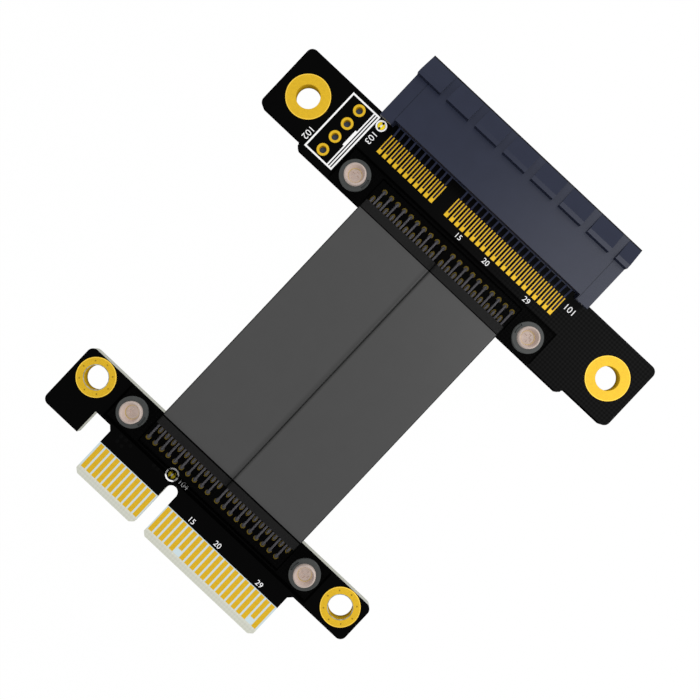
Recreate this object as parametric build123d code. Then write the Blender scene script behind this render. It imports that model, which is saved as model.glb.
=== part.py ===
from build123d import *
import os

# Flat-cable riser: a slot board and a card-edge board joined by two ribbon cables.
# X runs along the boards, +Y points from the card edge to the slot, Z is up.
# The origin is below the middle of the whole, on the plane of the slot housing's lowest face.

# Boards
board_thickness = 1.6
board_gap = 40.0
board_corner_radius = 1.0
copper_thickness = 0.05

# Sides of the round details, few because they are many and small
hidden_round_sides = 8
small_round_sides = 10
fastener_sides = 16
ring_sides = 18

# Contact row, shared by the slot, the card edge and the cable clamps
row_x = 0.13
contact_pitch = 1.0
contacts_before_key = 11
contacts_after_key = 21
key_span = 3.0

# Length of the clamp covers, which the screws, header, holes and board ends follow
cover_length = 38.3

# Socket board
socket_board_depth = 12.0
socket_skirt_length = 50.8
socket_skirt_depth = 1.0
socket_step_chamfer = 0.4
socket_hole_from_header = 6.61
socket_hole_from_end = 4.5
socket_hole_from_edge = 5.6
mounting_hole_diameter = 3.5
socket_ring_diameter = 6.5
barrel_wall = 0.1

# Socket board pads
socket_pad_width = 0.65
socket_pad_length = 3.15
socket_pad_from_edge = 1.5

# Unfitted header on the socket board
header_from_neighbour = 3.2
header_pitch = 2.5
header_pins = 4
header_first_from_edge = 2.1
header_hole_diameter = 1.0
header_ring_diameter = 1.8
header_barrel_wall = 0.06
header_solder_height = 0.5

# Printed outline of the header
legend_thickness = 0.03
legend_line = 0.25
legend_width = 5.2
legend_margin = 1.35
legend_from_header_x = 0.24
legend_wall_gap = 0.2
legend_wall_line = 0.2
legend_key_width = 0.25
legend_key_length = 2.7

# Round test pads
test_pad_diameter = 1.1
socket_test_pad_from_housing_end = 0.73
socket_test_pad_from_edge = 1.55
plug_test_pad_from_key = 1.55
plug_test_pad_from_edge = 5.6

# Slot housing
housing_end_wall = 2.15
housing_reach = 9.8
housing_overlap = 0.4
housing_lip_height = 1.05
body_height = 3.05
rim_height = 1.0
rim_depth = 3.6
rim_flat = 0.66
channel_width = 1.2
channel_count = 7
first_channel = 4.8
last_channel = 2.76
ear_length = 2.06
ear_reach = 1.2
ear_root_reach = 0.6
ear_tip_height = 0.6
ear_groove_width = 0.12
ear_groove_depth = 0.15
slot_clearance = 0.15
slot_depth = 8.4
slot_end_clearance = 0.2
slot_lead_in = 0.5
key_rib_clearance = 0.1
key_rib_setback = 1.2

# Slot contacts
contact_width = 0.35
contact_thickness = 0.2
cavity_clearance = 0.1
cavity_height = 1.2
cavity_mouth_wall = 1.0
cavity_rib_root = 0.4
tail_setback = 0.7
tail_bend_from_edge = 1.2
tail_lift = 0.6
contact_point_from_mouth = 4.2
contact_press = 0.25
contact_tip_from_mouth = 1.6
contact_tip_flare = 0.6

# Plug board
plug_board_depth = 14.75
plug_shoulder_depth = 6.5
plug_lobe_length = 6.7
plug_lobe_depth = 10.4
plug_hole_past_cover = 4.5
plug_hole_from_end = 3.45
plug_hole_from_edge = 2.95
plug_ring_diameter = 5.8
tab_end_margin = 0.65
tab_corner_chamfer = 0.6
tab_bevel_length = 1.1
tab_bevel_drop = 0.35
key_notch_width = 1.9
key_notch_depth = 8.2

# Card-edge fingers
finger_width = 0.7
finger_length = 4.2
finger_from_edge = 1.3
short_finger_cut = 0.93
short_finger_pins = (17, 31)

# Ribbon cables
wire_count = 20
wire_pitch = 0.635
ribbon_side_margin = 0.5175
ribbon_thickness = 0.65
ribbon_gap = 0.1
ribbon_edge_cut = 0.18
ribbon_overlap = 1.5
wire_size = 0.33
near_pad_from_edge = 2.25
far_pad_from_edge = 3.75
wire_end_past_pad = 0.15
solder_length = 0.8

# Clamp covers
cover_depth = 5.65
cover_height = 2.0
cover_roof = 0.6
cover_wall = 0.6
cover_lift = 0.15
cover_edge_chamfer = 0.25
cover_side_clearance = 0.15
clamp_lip_depth = 1.0
clamp_clearance = 0.05

# Cover fasteners
screw_from_cover_end = 2.8
screw_from_edge = 2.45
screw_diameter = 2.0
screw_hole_clearance = 0.1
screw_length = 6.0
screw_head_diameter = 3.35
screw_head_height = 0.85
cross_width = 0.5
cross_length = 2.0
cross_depth = 0.5
collar_diameter = 4.7
collar_thickness = 0.5
nut_width = 4.0
nut_height = 1.6
nut_bore_clearance = 0.05

# Sizes worked out from those above
contact_row_length = (contacts_before_key + contacts_after_key - 2) * contact_pitch + key_span
tab_length = contact_row_length + 2 * tab_end_margin
slot_length = tab_length + 2 * slot_end_clearance
slot_width = board_thickness + slot_clearance
contact_gap = board_thickness - 2 * contact_press
housing_length = slot_length + 2 * housing_end_wall
channel_pitch = (housing_length - first_channel - last_channel) / (channel_count - 1)
ribbon_width = (wire_count - 1) * wire_pitch + 2 * ribbon_side_margin
screw_spacing = cover_length - 2 * screw_from_cover_end
plug_hole_spacing = cover_length + 2 * plug_hole_past_cover
plug_board_length = plug_hole_spacing + 2 * plug_hole_from_end

# The header stands clear of the cover and of the test pad, whichever reaches further
socket_test_pad_x = row_x - housing_length / 2 + socket_test_pad_from_housing_end
cover_end_x = row_x - cover_length / 2
test_pad_end_x = socket_test_pad_x - test_pad_diameter / 2
header_x = min(cover_end_x, test_pad_end_x) - header_from_neighbour
socket_hole_spacing = 2 * (socket_hole_from_header - header_x)
socket_board_length = socket_hole_spacing + 2 * socket_hole_from_end

# Places worked out from the sizes above
whole_depth = housing_reach + socket_board_depth + board_gap + plug_board_depth
mouth_y = whole_depth / 2
socket_edge_y = mouth_y - housing_reach
socket_cable_y = socket_edge_y - socket_board_depth
plug_cable_y = socket_cable_y - board_gap
tab_end_y = plug_cable_y - plug_board_depth
half_board = board_thickness / 2
body_half = half_board + body_height
rim_half = body_half + rim_height
middle_z = rim_half
top_z = middle_z + half_board
bottom_z = middle_z - half_board
key_x = row_x - (contacts_after_key - contacts_before_key) * contact_pitch / 2
plug_test_pad_x = key_x - plug_test_pad_from_key
contact_row = [
    key_x - key_span / 2 - step * contact_pitch
    for step in reversed(range(contacts_before_key))
] + [key_x + key_span / 2 + step * contact_pitch for step in range(contacts_after_key)]
contact_top = half_board + copper_thickness + contact_thickness / 2
cavity_roof = half_board + cavity_height
cover_cavity_length = 2 * ribbon_width + ribbon_gap + 2 * cover_side_clearance
cut_margin = 1.0


def block(x_range, y_range, z_range):
    """Box between three pairs of limits."""
    size = [high - low for low, high in (x_range, y_range, z_range)]
    middle = [(high + low) / 2 for low, high in (x_range, y_range, z_range)]
    return Pos(*middle) * Box(*size)


def plate(outline, thickness, z_low):
    """Outline drawn in XY, made a plate that stands on z_low."""
    return Pos(0, 0, z_low) * extrude(outline, thickness)


def rod(diameter, z_low, z_high, x=0, y=0):
    """Upright cylinder between two heights."""
    middle = (z_low + z_high) / 2
    return Pos(x, y, middle) * Cylinder(diameter / 2, z_high - z_low)


def sided_rod(diameter, z_low, z_high, sides, x=0, y=0):
    """Upright prism of many sides that clears a cylinder of the same diameter."""
    outline = RegularPolygon(diameter / 2, sides, major_radius=False)
    return Pos(x, y, z_low) * extrude(outline, z_high - z_low)


def side_prism(points, x_low, x_high):
    """Section given as (y, z) points, extruded along X between two limits."""
    section = Polygon(*points, align=None)
    return Plane.YZ.offset(x_low) * extrude(section, x_high - x_low, dir=(0, 0, 1))


def round_corners(outline, corners, radius):
    """Rounds the outline's vertices that lie at the given corners."""
    return fillet(pick_vertices(outline, corners), radius)


def cut_corners(outline, corners, length):
    """Chamfers the outline's vertices that lie at the given corners."""
    return chamfer(pick_vertices(outline, corners), length)


def pick_vertices(outline, corners):
    """Vertices of the outline that are nearest to the given points."""
    picked = []
    for x, y in corners:
        target = Vector(x, y, 0)
        nearest = min(outline.vertices(), key=lambda v: (Vector(*v) - target).length)
        picked.append(nearest)
    return picked


def rectangle(x_range, y_range):
    """Flat rectangle between two pairs of limits."""
    size = [high - low for low, high in (x_range, y_range)]
    middle = [(high + low) / 2 for low, high in (x_range, y_range)]
    return Pos(*middle) * Rectangle(*size)


def pair_about(middle, spacing):
    """Two places that lie evenly about a middle."""
    return [middle - spacing / 2, middle + spacing / 2]


# Where the holes are
socket_hole_y = socket_edge_y - socket_hole_from_edge
socket_holes = [(x, socket_hole_y) for x in pair_about(0, socket_hole_spacing)]
plug_hole_y = plug_cable_y - plug_hole_from_edge
plug_holes = [(x, plug_hole_y) for x in pair_about(0, plug_hole_spacing)]
header_holes = [
    (header_x, socket_edge_y - header_first_from_edge - step * header_pitch)
    for step in range(header_pins)
]
screw_row = pair_about(row_x, screw_spacing)
socket_screws = [(x, socket_cable_y + screw_from_edge) for x in screw_row]
plug_screws = [(x, plug_cable_y - screw_from_edge) for x in screw_row]
barrel_diameter = mounting_hole_diameter + 2 * barrel_wall
header_barrel_diameter = header_hole_diameter + 2 * header_barrel_wall
screw_hole_diameter = screw_diameter + 2 * screw_hole_clearance


def drill(outline, places, diameter):
    """Small holes through a flat outline, which plating or a screw then fills."""
    for x, y in places:
        hole = RegularPolygon(diameter / 2, hidden_round_sides, major_radius=False)
        outline -= Pos(x, y) * hole
    return outline


def socket_board():
    """Board whose two ends are a little shallower than its middle."""
    half = socket_board_length / 2
    skirt = socket_skirt_length / 2
    step_y = socket_cable_y + socket_skirt_depth
    outline = rectangle((-half, half), (step_y, socket_edge_y))
    outline += rectangle((-skirt, skirt), (socket_cable_y, socket_edge_y))
    ends = [(x, y) for x in (-half, half) for y in (step_y, socket_edge_y)]
    steps = [(x, y) for x in (-skirt, skirt) for y in (step_y, socket_cable_y)]
    outline = round_corners(outline, ends, board_corner_radius)
    outline = cut_corners(outline, steps, min(socket_step_chamfer, socket_skirt_depth * 0.45))
    outline = drill(outline, socket_holes, barrel_diameter)
    outline = drill(outline, header_holes, header_barrel_diameter)
    outline = drill(outline, socket_screws, screw_hole_diameter)
    return plate(outline, board_thickness, bottom_z)


def plug_board():
    """Board with a side lobe, a notched card-edge tab and a bevelled edge."""
    half = plug_board_length / 2
    shoulder_y = plug_cable_y - plug_shoulder_depth
    lobe_y = plug_cable_y - plug_lobe_depth
    lobe_x = -half + plug_lobe_length
    tab_left, tab_right = pair_about(row_x, tab_length)
    outline = rectangle((-half, half), (shoulder_y, plug_cable_y))
    outline += rectangle((-half, lobe_x), (lobe_y, plug_cable_y))
    outline += rectangle((tab_left, tab_right), (tab_end_y, plug_cable_y))
    ends = [(half, plug_cable_y), (half, shoulder_y), (-half, plug_cable_y), (-half, lobe_y)]
    outline = round_corners(outline, ends, board_corner_radius)
    notch_radius = key_notch_width / 2
    notch_left, notch_right = pair_about(key_x, key_notch_width)
    notch_top = tab_end_y + key_notch_depth - notch_radius
    outline -= rectangle((notch_left, notch_right), (tab_end_y - cut_margin, notch_top))
    outline -= Pos(key_x, notch_top) * Circle(notch_radius)
    nooks = [(tab_left, shoulder_y), (tab_right, shoulder_y)]
    tips = [(x, tab_end_y) for x in (tab_left, notch_left, notch_right, tab_right)]
    outline = cut_corners(outline, nooks + tips, tab_corner_chamfer)
    outline = drill(outline, plug_holes, barrel_diameter)
    outline = drill(outline, plug_screws, screw_hole_diameter)
    board = plate(outline, board_thickness, bottom_z)
    for side in (1, -1):
        board -= edge_bevel(side)
    return board


def edge_bevel(side):
    """Wedge that is ground off one face of the card edge."""
    face_z = middle_z + side * half_board
    points = [
        (tab_end_y, face_z - side * tab_bevel_drop),
        (tab_end_y, face_z + side * tab_bevel_drop),
        (tab_end_y + 2 * tab_bevel_length, face_z + side * tab_bevel_drop),
    ]
    return side_prism(points, *pair_about(row_x, tab_length + 2 * cut_margin))


def ringed_barrel(place, ring_diameter, sides, barrel_diameter):
    """Copper that lines a hole, not bored yet, with a ring on each face of the board."""
    barrel = sided_rod(barrel_diameter, bottom_z, top_z, hidden_round_sides, *place)
    for low in (top_z, bottom_z - copper_thickness):
        barrel += sided_rod(ring_diameter, low, low + copper_thickness, sides, *place)
    return barrel


def plated_mounting_hole(place, ring_diameter):
    """Copper lining of a mounting hole; its bore is a true cylinder."""
    barrel = ringed_barrel(place, ring_diameter, ring_sides, barrel_diameter)
    bore = rod(mounting_hole_diameter, bottom_z - cut_margin, top_z + cut_margin, *place)
    return barrel - bore


def plated_header_hole(place):
    """Copper lining of one hole of the header."""
    bore_z = (bottom_z - cut_margin, top_z + cut_margin)
    barrel = ringed_barrel(place, header_ring_diameter, small_round_sides, header_barrel_diameter)
    return barrel - sided_rod(header_hole_diameter, *bore_z, small_round_sides, *place)


def header_solder():
    """Solder that fills the lower end of each header hole."""
    plug_z = (bottom_z, bottom_z + header_solder_height)
    return [
        sided_rod(header_hole_diameter, *plug_z, small_round_sides, *place)
        for place in header_holes
    ]


def header_legend():
    """Printed outline of the header: a frame, two inner wall lines and a key mark."""
    middle_y = sum(y for _, y in header_holes) / header_pins
    height = (header_pins - 1) * header_pitch + 2 * legend_margin
    x_low, x_high = pair_about(header_x + legend_from_header_x, legend_width)
    y_low, y_high = pair_about(middle_y, height)
    frame = rectangle((x_low, x_high), (y_low, y_high))
    inside_x = (x_low + legend_line, x_high - legend_line)
    inside_y = (y_low + legend_line, y_high - legend_line)
    frame -= rectangle(inside_x, inside_y)
    wall_x = inside_x[1]
    for _ in range(2):
        wall_x -= legend_wall_gap + legend_wall_line
        frame += rectangle((wall_x, wall_x + legend_wall_line), inside_y)
    key_y = pair_about(middle_y, legend_key_length)
    frame += rectangle((wall_x - legend_key_width, wall_x), key_y)
    return plate(frame, legend_thickness, top_z)


def test_pad(x, y):
    """Round gold pad on the upper face."""
    pad_z = (top_z, top_z + copper_thickness)
    return sided_rod(test_pad_diameter, *pad_z, small_round_sides, x, y)


def face_sheet(side):
    """Heights of the copper on the upper (1) or lower (-1) face."""
    return sorted(
        (
            middle_z + side * half_board,
            middle_z + side * (half_board + copper_thickness),
        )
    )


def socket_pads(side):
    """Row of pads under the contact tails on one face."""
    outer_y = socket_edge_y - socket_pad_from_edge
    return [
        block(
            pair_about(x, socket_pad_width),
            (outer_y - socket_pad_length, outer_y),
            face_sheet(side),
        )
        for x in contact_row
    ]


def card_fingers(side):
    """Row of gold fingers on one face; the upper row has two short ones."""
    low_y = tab_end_y + finger_from_edge
    high_y = low_y + finger_length
    fingers = []
    for pin, x in enumerate(contact_row, start=1):
        is_short = side > 0 and pin in short_finger_pins
        start_y = low_y + (short_finger_cut if is_short else 0)
        x_range = pair_about(x, finger_width)
        fingers.append(block(x_range, (start_y, high_y), face_sheet(side)))
    return fingers


def housing_x():
    """X limits of the slot housing."""
    return pair_about(row_x, housing_length)


def rim_blocks(side):
    """Raised blocks round the mouth, parted by channels at the level of the body."""
    left, right = housing_x()
    section = [
        (mouth_y - rim_depth, middle_z + side * body_half),
        (mouth_y - rim_depth, middle_z + side * rim_half),
        (mouth_y - rim_depth + rim_flat, middle_z + side * rim_half),
        (mouth_y, middle_z + side * body_half),
    ]
    edges = [left]
    for step in range(channel_count):
        edges += pair_about(left + first_channel + step * channel_pitch, channel_width)
    edges.append(right)
    return [
        side_prism(section, low, high) for low, high in zip(edges[0::2], edges[1::2])
    ]


def ears(side):
    """Hooked ends of the housing that grip one face of the board."""
    left, right = housing_x()
    tip_y = socket_edge_y - ear_reach
    face_z = middle_z + side * half_board
    outer_z = middle_z + side * body_half
    section = [
        (socket_edge_y, face_z),
        (socket_edge_y, outer_z),
        (tip_y, outer_z),
        (tip_y, outer_z - side * ear_tip_height),
        (socket_edge_y - ear_root_reach, face_z),
    ]
    return [
        side_prism(section, left, left + ear_length),
        side_prism(section, right - ear_length, right),
    ]


def contact_cavities(side):
    """Pockets for the spring contacts, with a trough behind them that their tails leave by."""
    width = contact_width + 2 * cavity_clearance
    z_range = sorted((middle_z + side * slot_width / 2, middle_z + side * cavity_roof))
    root_y = mouth_y - slot_depth - cavity_rib_root
    trough_x = (contact_row[0] - width / 2, contact_row[-1] + width / 2)
    trough_y = (socket_edge_y - cut_margin, root_y)
    pocket_y = (root_y, mouth_y - cavity_mouth_wall)
    pockets = [block(pair_about(x, width), pocket_y, z_range) for x in contact_row]
    return [block(trough_x, trough_y, z_range)] + pockets


def slot_housing():
    """Moulded slot that straddles the board's edge."""
    left, right = housing_x()
    body_z = pair_about(middle_z, 2 * body_half)
    housing = block((left, right), (socket_edge_y, mouth_y), body_z)
    inner_x = (left + ear_length, right - ear_length)
    overhang_y = (socket_edge_y - housing_overlap, socket_edge_y)
    groove_y = (socket_edge_y - ear_reach - cut_margin, mouth_y - rim_depth)
    for side in (1, -1):
        lip_z = [middle_z + side * (body_half - drop) for drop in (0, housing_lip_height)]
        housing += block(inner_x, overhang_y, sorted(lip_z))
        housing += rim_blocks(side)
        housing += ears(side)
        groove_z = [middle_z + side * (body_half - drop) for drop in (0, ear_groove_depth)]
        for low in (inner_x[0] - ear_groove_width, inner_x[1]):
            groove_x = (low, low + ear_groove_width)
            housing -= block(groove_x, groove_y, sorted(groove_z))
    slot_x = pair_about(row_x, slot_length)
    slot_z = pair_about(middle_z, slot_width)
    housing -= block(slot_x, (mouth_y - slot_depth, mouth_y + cut_margin), slot_z)
    housing -= side_prism(lead_in_section(), *slot_x)
    rib_x = pair_about(key_x, key_notch_width - 2 * key_rib_clearance)
    rib_y = (mouth_y - slot_depth, mouth_y - key_rib_setback)
    housing -= contact_cavities(1) + contact_cavities(-1)
    return housing + block(rib_x, rib_y, slot_z)


def lead_in_section():
    """Flare of the slot at its mouth, as (y, z) points."""
    inner = slot_width / 2
    outer = inner + slot_lead_in
    return [
        (mouth_y - slot_lead_in, middle_z - inner),
        (mouth_y, middle_z - outer),
        (mouth_y, middle_z + outer),
        (mouth_y - slot_lead_in, middle_z + inner),
    ]


def slot_contacts(side):
    """Spring contacts of one row: soldered tail, rise, spring, contact bend, coined tip."""
    pad_end_y = socket_edge_y - socket_pad_from_edge - socket_pad_length
    spring_height = contact_gap / 2 + contact_thickness / 2
    path = [
        (pad_end_y + tail_setback, contact_top),
        (socket_edge_y - tail_bend_from_edge, contact_top),
        (socket_edge_y, contact_top + tail_lift),
        (mouth_y - contact_point_from_mouth, spring_height),
    ]
    outer = [(y, middle_z + side * (height + contact_thickness / 2)) for y, height in path]
    inner = [(y, middle_z + side * (height - contact_thickness / 2)) for y, height in path]
    tip_z = middle_z + side * (spring_height + contact_tip_flare)
    section = outer + [(mouth_y - contact_tip_from_mouth, tip_z)] + inner[::-1]
    return [side_prism(section, *pair_about(x, contact_width)) for x in contact_row]


def ribbon_middle(index):
    """Middle of ribbon 0 (left) or 1 (right)."""
    return pair_about(row_x, ribbon_width + ribbon_gap)[index]


def wire_places(index):
    """X of each conductor of one ribbon."""
    first = ribbon_middle(index) - (wire_count - 1) * wire_pitch / 2
    return [first + step * wire_pitch for step in range(wire_count)]


def ribbon_jacket(index):
    """Flat insulation with its long edges broken."""
    x_range = pair_about(ribbon_middle(index), ribbon_width)
    y_range = (plug_cable_y - ribbon_overlap, socket_cable_y + ribbon_overlap)
    jacket = block(x_range, y_range, (top_z, top_z + ribbon_thickness))
    long_edges = jacket.edges().filter_by(Axis.Y)
    return chamfer(long_edges, min(ribbon_edge_cut, ribbon_thickness * 0.45))


def pad_distance(step, at_socket):
    """How far in from the cable edge a conductor is soldered; the two rows alternate."""
    is_near = (step % 2 == 0) == at_socket
    return near_pad_from_edge if is_near else far_pad_from_edge


def inward_y(at_socket, distance):
    """Y of a line that lies a distance in from a board's cable edge."""
    return socket_cable_y + distance if at_socket else plug_cable_y - distance


def bared_wires(index, at_socket):
    """Conductors of one ribbon, bared at one board, each with its foot of solder."""
    low_z, high_z = pair_about(top_z + ribbon_thickness / 2, wire_size)
    wires = []
    for step, x in enumerate(wire_places(index)):
        pad = pad_distance(step, at_socket)
        section = [
            (ribbon_overlap, low_z),
            (ribbon_overlap, high_z),
            (pad + wire_end_past_pad, high_z),
            (pad + solder_length / 2, top_z),
            (pad - solder_length / 2, top_z),
            (pad - wire_end_past_pad, low_z),
        ]
        points = [(inward_y(at_socket, distance), z) for distance, z in section]
        wires.append(side_prism(points, *pair_about(x, wire_size)))
    return wires


def at_cable_edge(at_socket):
    """Frame on a board's cable edge: local +Y points into the board, Z from its face."""
    if at_socket:
        return Pos(row_x, socket_cable_y, top_z)
    return Pos(row_x, plug_cable_y, top_z) * Rot(0, 0, 180)


def clamp_cover():
    """Clear cover over the soldered ends, drawn in the frame of a cable edge."""
    half = cover_length / 2
    cavity_half = cover_cavity_length / 2
    cover = block((-half, half), (0, cover_depth), (0, cover_height))
    top_edges = cover.faces().sort_by(Axis.Z)[-1].edges()
    cover = chamfer(top_edges, cover_edge_chamfer)
    cavity_z = (-cut_margin, cover_height - cover_roof)
    cavity_x = (-cavity_half, cavity_half)
    cover -= block(cavity_x, (clamp_lip_depth, cover_depth - cover_wall), cavity_z)
    lip_z = (-cut_margin, ribbon_thickness + clamp_clearance)
    cover -= block(cavity_x, (-cut_margin, clamp_lip_depth), lip_z)
    wall_y = (cover_depth - cover_wall, cover_depth + cut_margin)
    cover -= block(cavity_x, wall_y, (-cut_margin, cover_lift))
    hole_z = (-cut_margin, cover_height + cut_margin)
    for x in pair_about(0, screw_spacing):
        place = (x, screw_from_edge)
        cover -= sided_rod(screw_hole_diameter, *hole_z, hidden_round_sides, *place)
    return cover


def collar():
    """Thick washer; its lower face is at Z 0."""
    ring = sided_rod(collar_diameter, 0, collar_thickness, fastener_sides)
    hole_z = (-cut_margin, collar_thickness + cut_margin)
    return ring - sided_rod(screw_hole_diameter, *hole_z, hidden_round_sides)


def cover_screw():
    """Round-headed screw with a cross recess; the head's seat is at Z 0."""
    head = sided_rod(screw_head_diameter, 0, screw_head_height, fastener_sides)
    cross_z = (screw_head_height - cross_depth, screw_head_height + cut_margin)
    arm = pair_about(0, cross_width)
    reach = pair_about(0, cross_length)
    head -= block(arm, reach, cross_z) + block(reach, arm, cross_z)
    return head + sided_rod(screw_diameter, -screw_length, 0, hidden_round_sides)


def cover_nut():
    """Hex nut whose upper face is at Z 0."""
    across_corners = nut_width / 3**0.5
    nut = Pos(0, 0, -nut_height) * extrude(RegularPolygon(across_corners, 6), nut_height)
    bore = screw_diameter + 2 * nut_bore_clearance
    return nut - sided_rod(bore, -nut_height - cut_margin, cut_margin, hidden_round_sides)


def at_each_screw(shape, z):
    """Copies of a fastener at all four cover screws."""
    return [Pos(x, y, z) * shape for x, y in socket_screws + plug_screws]


def save(name, shape):
    """Writes one node; a list of pieces becomes a group of separate solids."""
    if isinstance(shape, list):
        shape = Compound(children=shape)
    export_step(shape, f"parts/{name}.step")


def main():
    os.makedirs("parts", exist_ok=True)
    save("socket_board", socket_board())
    save("slot_housing", slot_housing())
    save("plug_board", plug_board())
    for side, face in ((1, "upper"), (-1, "lower")):
        save(f"slot_contacts_{face}", slot_contacts(side))
        save(f"socket_pads_{face}", socket_pads(side))
        save(f"card_fingers_{face}", card_fingers(side))
    socket_plating = [plated_mounting_hole(hole, socket_ring_diameter) for hole in socket_holes]
    plug_plating = [plated_mounting_hole(hole, plug_ring_diameter) for hole in plug_holes]
    save("socket_hole_plating", socket_plating)
    save("plug_hole_plating", plug_plating)
    save("header_hole_plating", [plated_header_hole(hole) for hole in header_holes])
    save("header_hole_solder", header_solder())
    save("header_legend", header_legend())
    save("socket_test_pad", test_pad(socket_test_pad_x, socket_edge_y - socket_test_pad_from_edge))
    save("plug_test_pad", test_pad(plug_test_pad_x, plug_cable_y - plug_test_pad_from_edge))
    for index, side_name in enumerate(("left", "right")):
        save(f"ribbon_jacket_{side_name}", ribbon_jacket(index))
    cover = clamp_cover()
    for at_socket, board in ((True, "socket"), (False, "plug")):
        save(f"{board}_wire_ends", bared_wires(0, at_socket) + bared_wires(1, at_socket))
        save(f"{board}_cover", at_cable_edge(at_socket) * cover)
    cover_top = top_z + cover_height
    save("cover_collars", at_each_screw(collar(), cover_top))
    save("cover_screws", at_each_screw(cover_screw(), cover_top + collar_thickness))
    save("cover_nuts", at_each_screw(cover_nut(), bottom_z))


main()
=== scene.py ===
from math import atan2, cos, pi, radians, sin, tan

import bmesh
import bpy
from bpy.props import FloatProperty, FloatVectorProperty, PointerProperty
from mathutils import Matrix, Vector


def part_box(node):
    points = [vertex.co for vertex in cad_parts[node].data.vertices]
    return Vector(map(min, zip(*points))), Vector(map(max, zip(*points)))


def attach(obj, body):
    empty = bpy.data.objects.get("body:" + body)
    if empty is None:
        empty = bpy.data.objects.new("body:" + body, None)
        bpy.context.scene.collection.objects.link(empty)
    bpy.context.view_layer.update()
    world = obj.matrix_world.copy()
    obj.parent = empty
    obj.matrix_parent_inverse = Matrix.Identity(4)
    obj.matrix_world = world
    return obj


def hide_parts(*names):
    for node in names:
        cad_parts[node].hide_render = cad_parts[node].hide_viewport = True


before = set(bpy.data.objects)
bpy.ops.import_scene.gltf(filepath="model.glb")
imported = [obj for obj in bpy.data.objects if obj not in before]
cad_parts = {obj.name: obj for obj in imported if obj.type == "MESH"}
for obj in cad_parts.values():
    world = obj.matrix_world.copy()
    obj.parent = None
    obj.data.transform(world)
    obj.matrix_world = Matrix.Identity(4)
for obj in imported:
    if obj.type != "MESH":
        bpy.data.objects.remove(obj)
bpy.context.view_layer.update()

bl_info = {
    "name": "Riser card dressing",
    "version": (1, 0, 0),
    "blender": (4, 5, 0),
    "location": "3D View > Sidebar > Riser",
    "description": "Finishes, solder, print and fasteners for a flat-cable riser card",
    "category": "Object",
}

# Shapes are drawn in millimetres and stored in metres
MM_PER_M = 1000.0
FULL_TURN = 2 * pi
MERGE_DISTANCE = 0.0005
SPIN_STEPS = 48
SHARP_ANGLE = radians(32)

# Capital height of the built-in font against its size, and how much its strokes are thinned
DIGIT_SHARE_OF_SIZE = 0.7
DIGIT_THINNING = 0.004

# The seam lies this far into the right cable's CAD box, in millimetres
SEAM_OFFSET = 0.1

# Every smooth surface shows the softbox as one broad sheen
SHEEN_ROUGHNESS = 0.31

# Pitches of the laminate's layers and of the jackets' cloth-like grain, in metres
LAYER_PITCH = 0.00032
JACKET_GRAIN = 0.00032

# Limits of painted zones, in metres: bare laminate past the row of fingers, the painted shade
# along the slot's mouth, the depth of a cover's front, and the painted shade each side of the seam
TAB_MARGIN = 0.001
MOUTH_SHADE_LINE = 0.0002
FRONT_MARGIN = 0.0001
SEAM_SHADE = (-0.0009, 0.0005)

# Colours of small parts
# Mask below the covers, lifted by a painted sheen in place of the covers' reflection of the softbox
MASK_PAINTED_SHEEN = ((0.007, 0.007, 0.007), (0.011, 0.011, 0.011))
# Near black of the socket board's walls that face −Y: painted shade
EDGE_PAINTED_SHADE = (0.002, 0.002, 0.002)
WEATHERED_LAMINATE = (0.30, 0.35, 0.34)
SHADED_VIA = (0.36, 0.22, 0.014)
TEST_PAD_GOLD = (1.0, 0.72, 0.02)
WIRE_PAD_GOLD = (0.56, 0.40, 0.05)
# Near white of the strip across a test pad: a painted highlight
SOLDER_PAINTED_HIGHLIGHT = (0.85, 0.85, 0.82)
SOLDER_BRIGHT = (0.30, 0.29, 0.33)
SOLDER_DULL = (0.055, 0.070, 0.100)
# Warm tone low in a screw's recess: a painted reflection of the light that its walls throw back
RECESS_PAINTED_REFLECTION = (0.55, 0.42, 0.16)
FLOOR_WHITE = (0.93, 0.93, 0.93)


# Settings that a user would change


class StageSettings(bpy.types.PropertyGroup):
    floor_size: FloatProperty(
        name="Floor size", description="Side of the square floor", default=3.0, unit="LENGTH",
    )
    sky_strength: FloatProperty(
        name="Sky", description="Strength of the even light from all round", default=0.56,
    )
    backdrop_glow: FloatProperty(
        name="Backdrop glow", description="Share of plain white in the floor as the camera sees it",
        default=0.985, subtype="FACTOR",
    )
    softbox_power: FloatProperty(
        name="Softbox power", description="Power of the large soft light",
        default=0.51, unit="POWER",
    )
    softbox_size: FloatProperty(
        name="Softbox size", description="Side of the soft light", default=0.16, unit="LENGTH",
    )
    softbox_place: FloatVectorProperty(
        name="Softbox place", description="Where the soft light stands",
        default=(0.112, 0.100, 0.26), subtype="TRANSLATION",
    )
    camera_height: FloatProperty(
        name="Camera height", description="Height above the floor",
        default=0.11065, unit="LENGTH",
    )
    camera_turn: FloatProperty(
        name="Camera turn", description="Turn of the picture about the upright axis",
        default=radians(43.27), subtype="ANGLE",
    )
    camera_place: FloatVectorProperty(
        name="Camera place", description="Where the camera stands over the part, along X and Y",
        default=(-0.000205, 0.00089), size=2, unit="LENGTH",
    )
    camera_lens: FloatProperty(
        name="Camera lens", description="Focal length in millimetres", default=38.27,
    )


class BoardSettings(bpy.types.PropertyGroup):
    mask_colour: FloatVectorProperty(
        name="Solder mask", description="Colour of the solder mask",
        default=(0.0003, 0.0003, 0.0003), subtype="COLOR",
    )
    laminate_colour: FloatVectorProperty(
        name="Laminate", description="Colour of the bare glass-fibre laminate",
        default=(0.69, 0.70, 0.61), subtype="COLOR",
    )
    weave_pitch: FloatProperty(
        name="Weave pitch", description="Pitch of the glass weave under the mask",
        default=0.0005, unit="LENGTH",
    )
    gap_colour: FloatVectorProperty(
        name="Finger gaps", description="Colour of the laminate between the gold fingers",
        default=(0.62, 0.74, 0.78), subtype="COLOR",
    )
    mask_edge: FloatProperty(
        name="Mask edge", description="Y below which the card edge has no mask",
        default=-0.03267, unit="LENGTH",
    )


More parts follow.
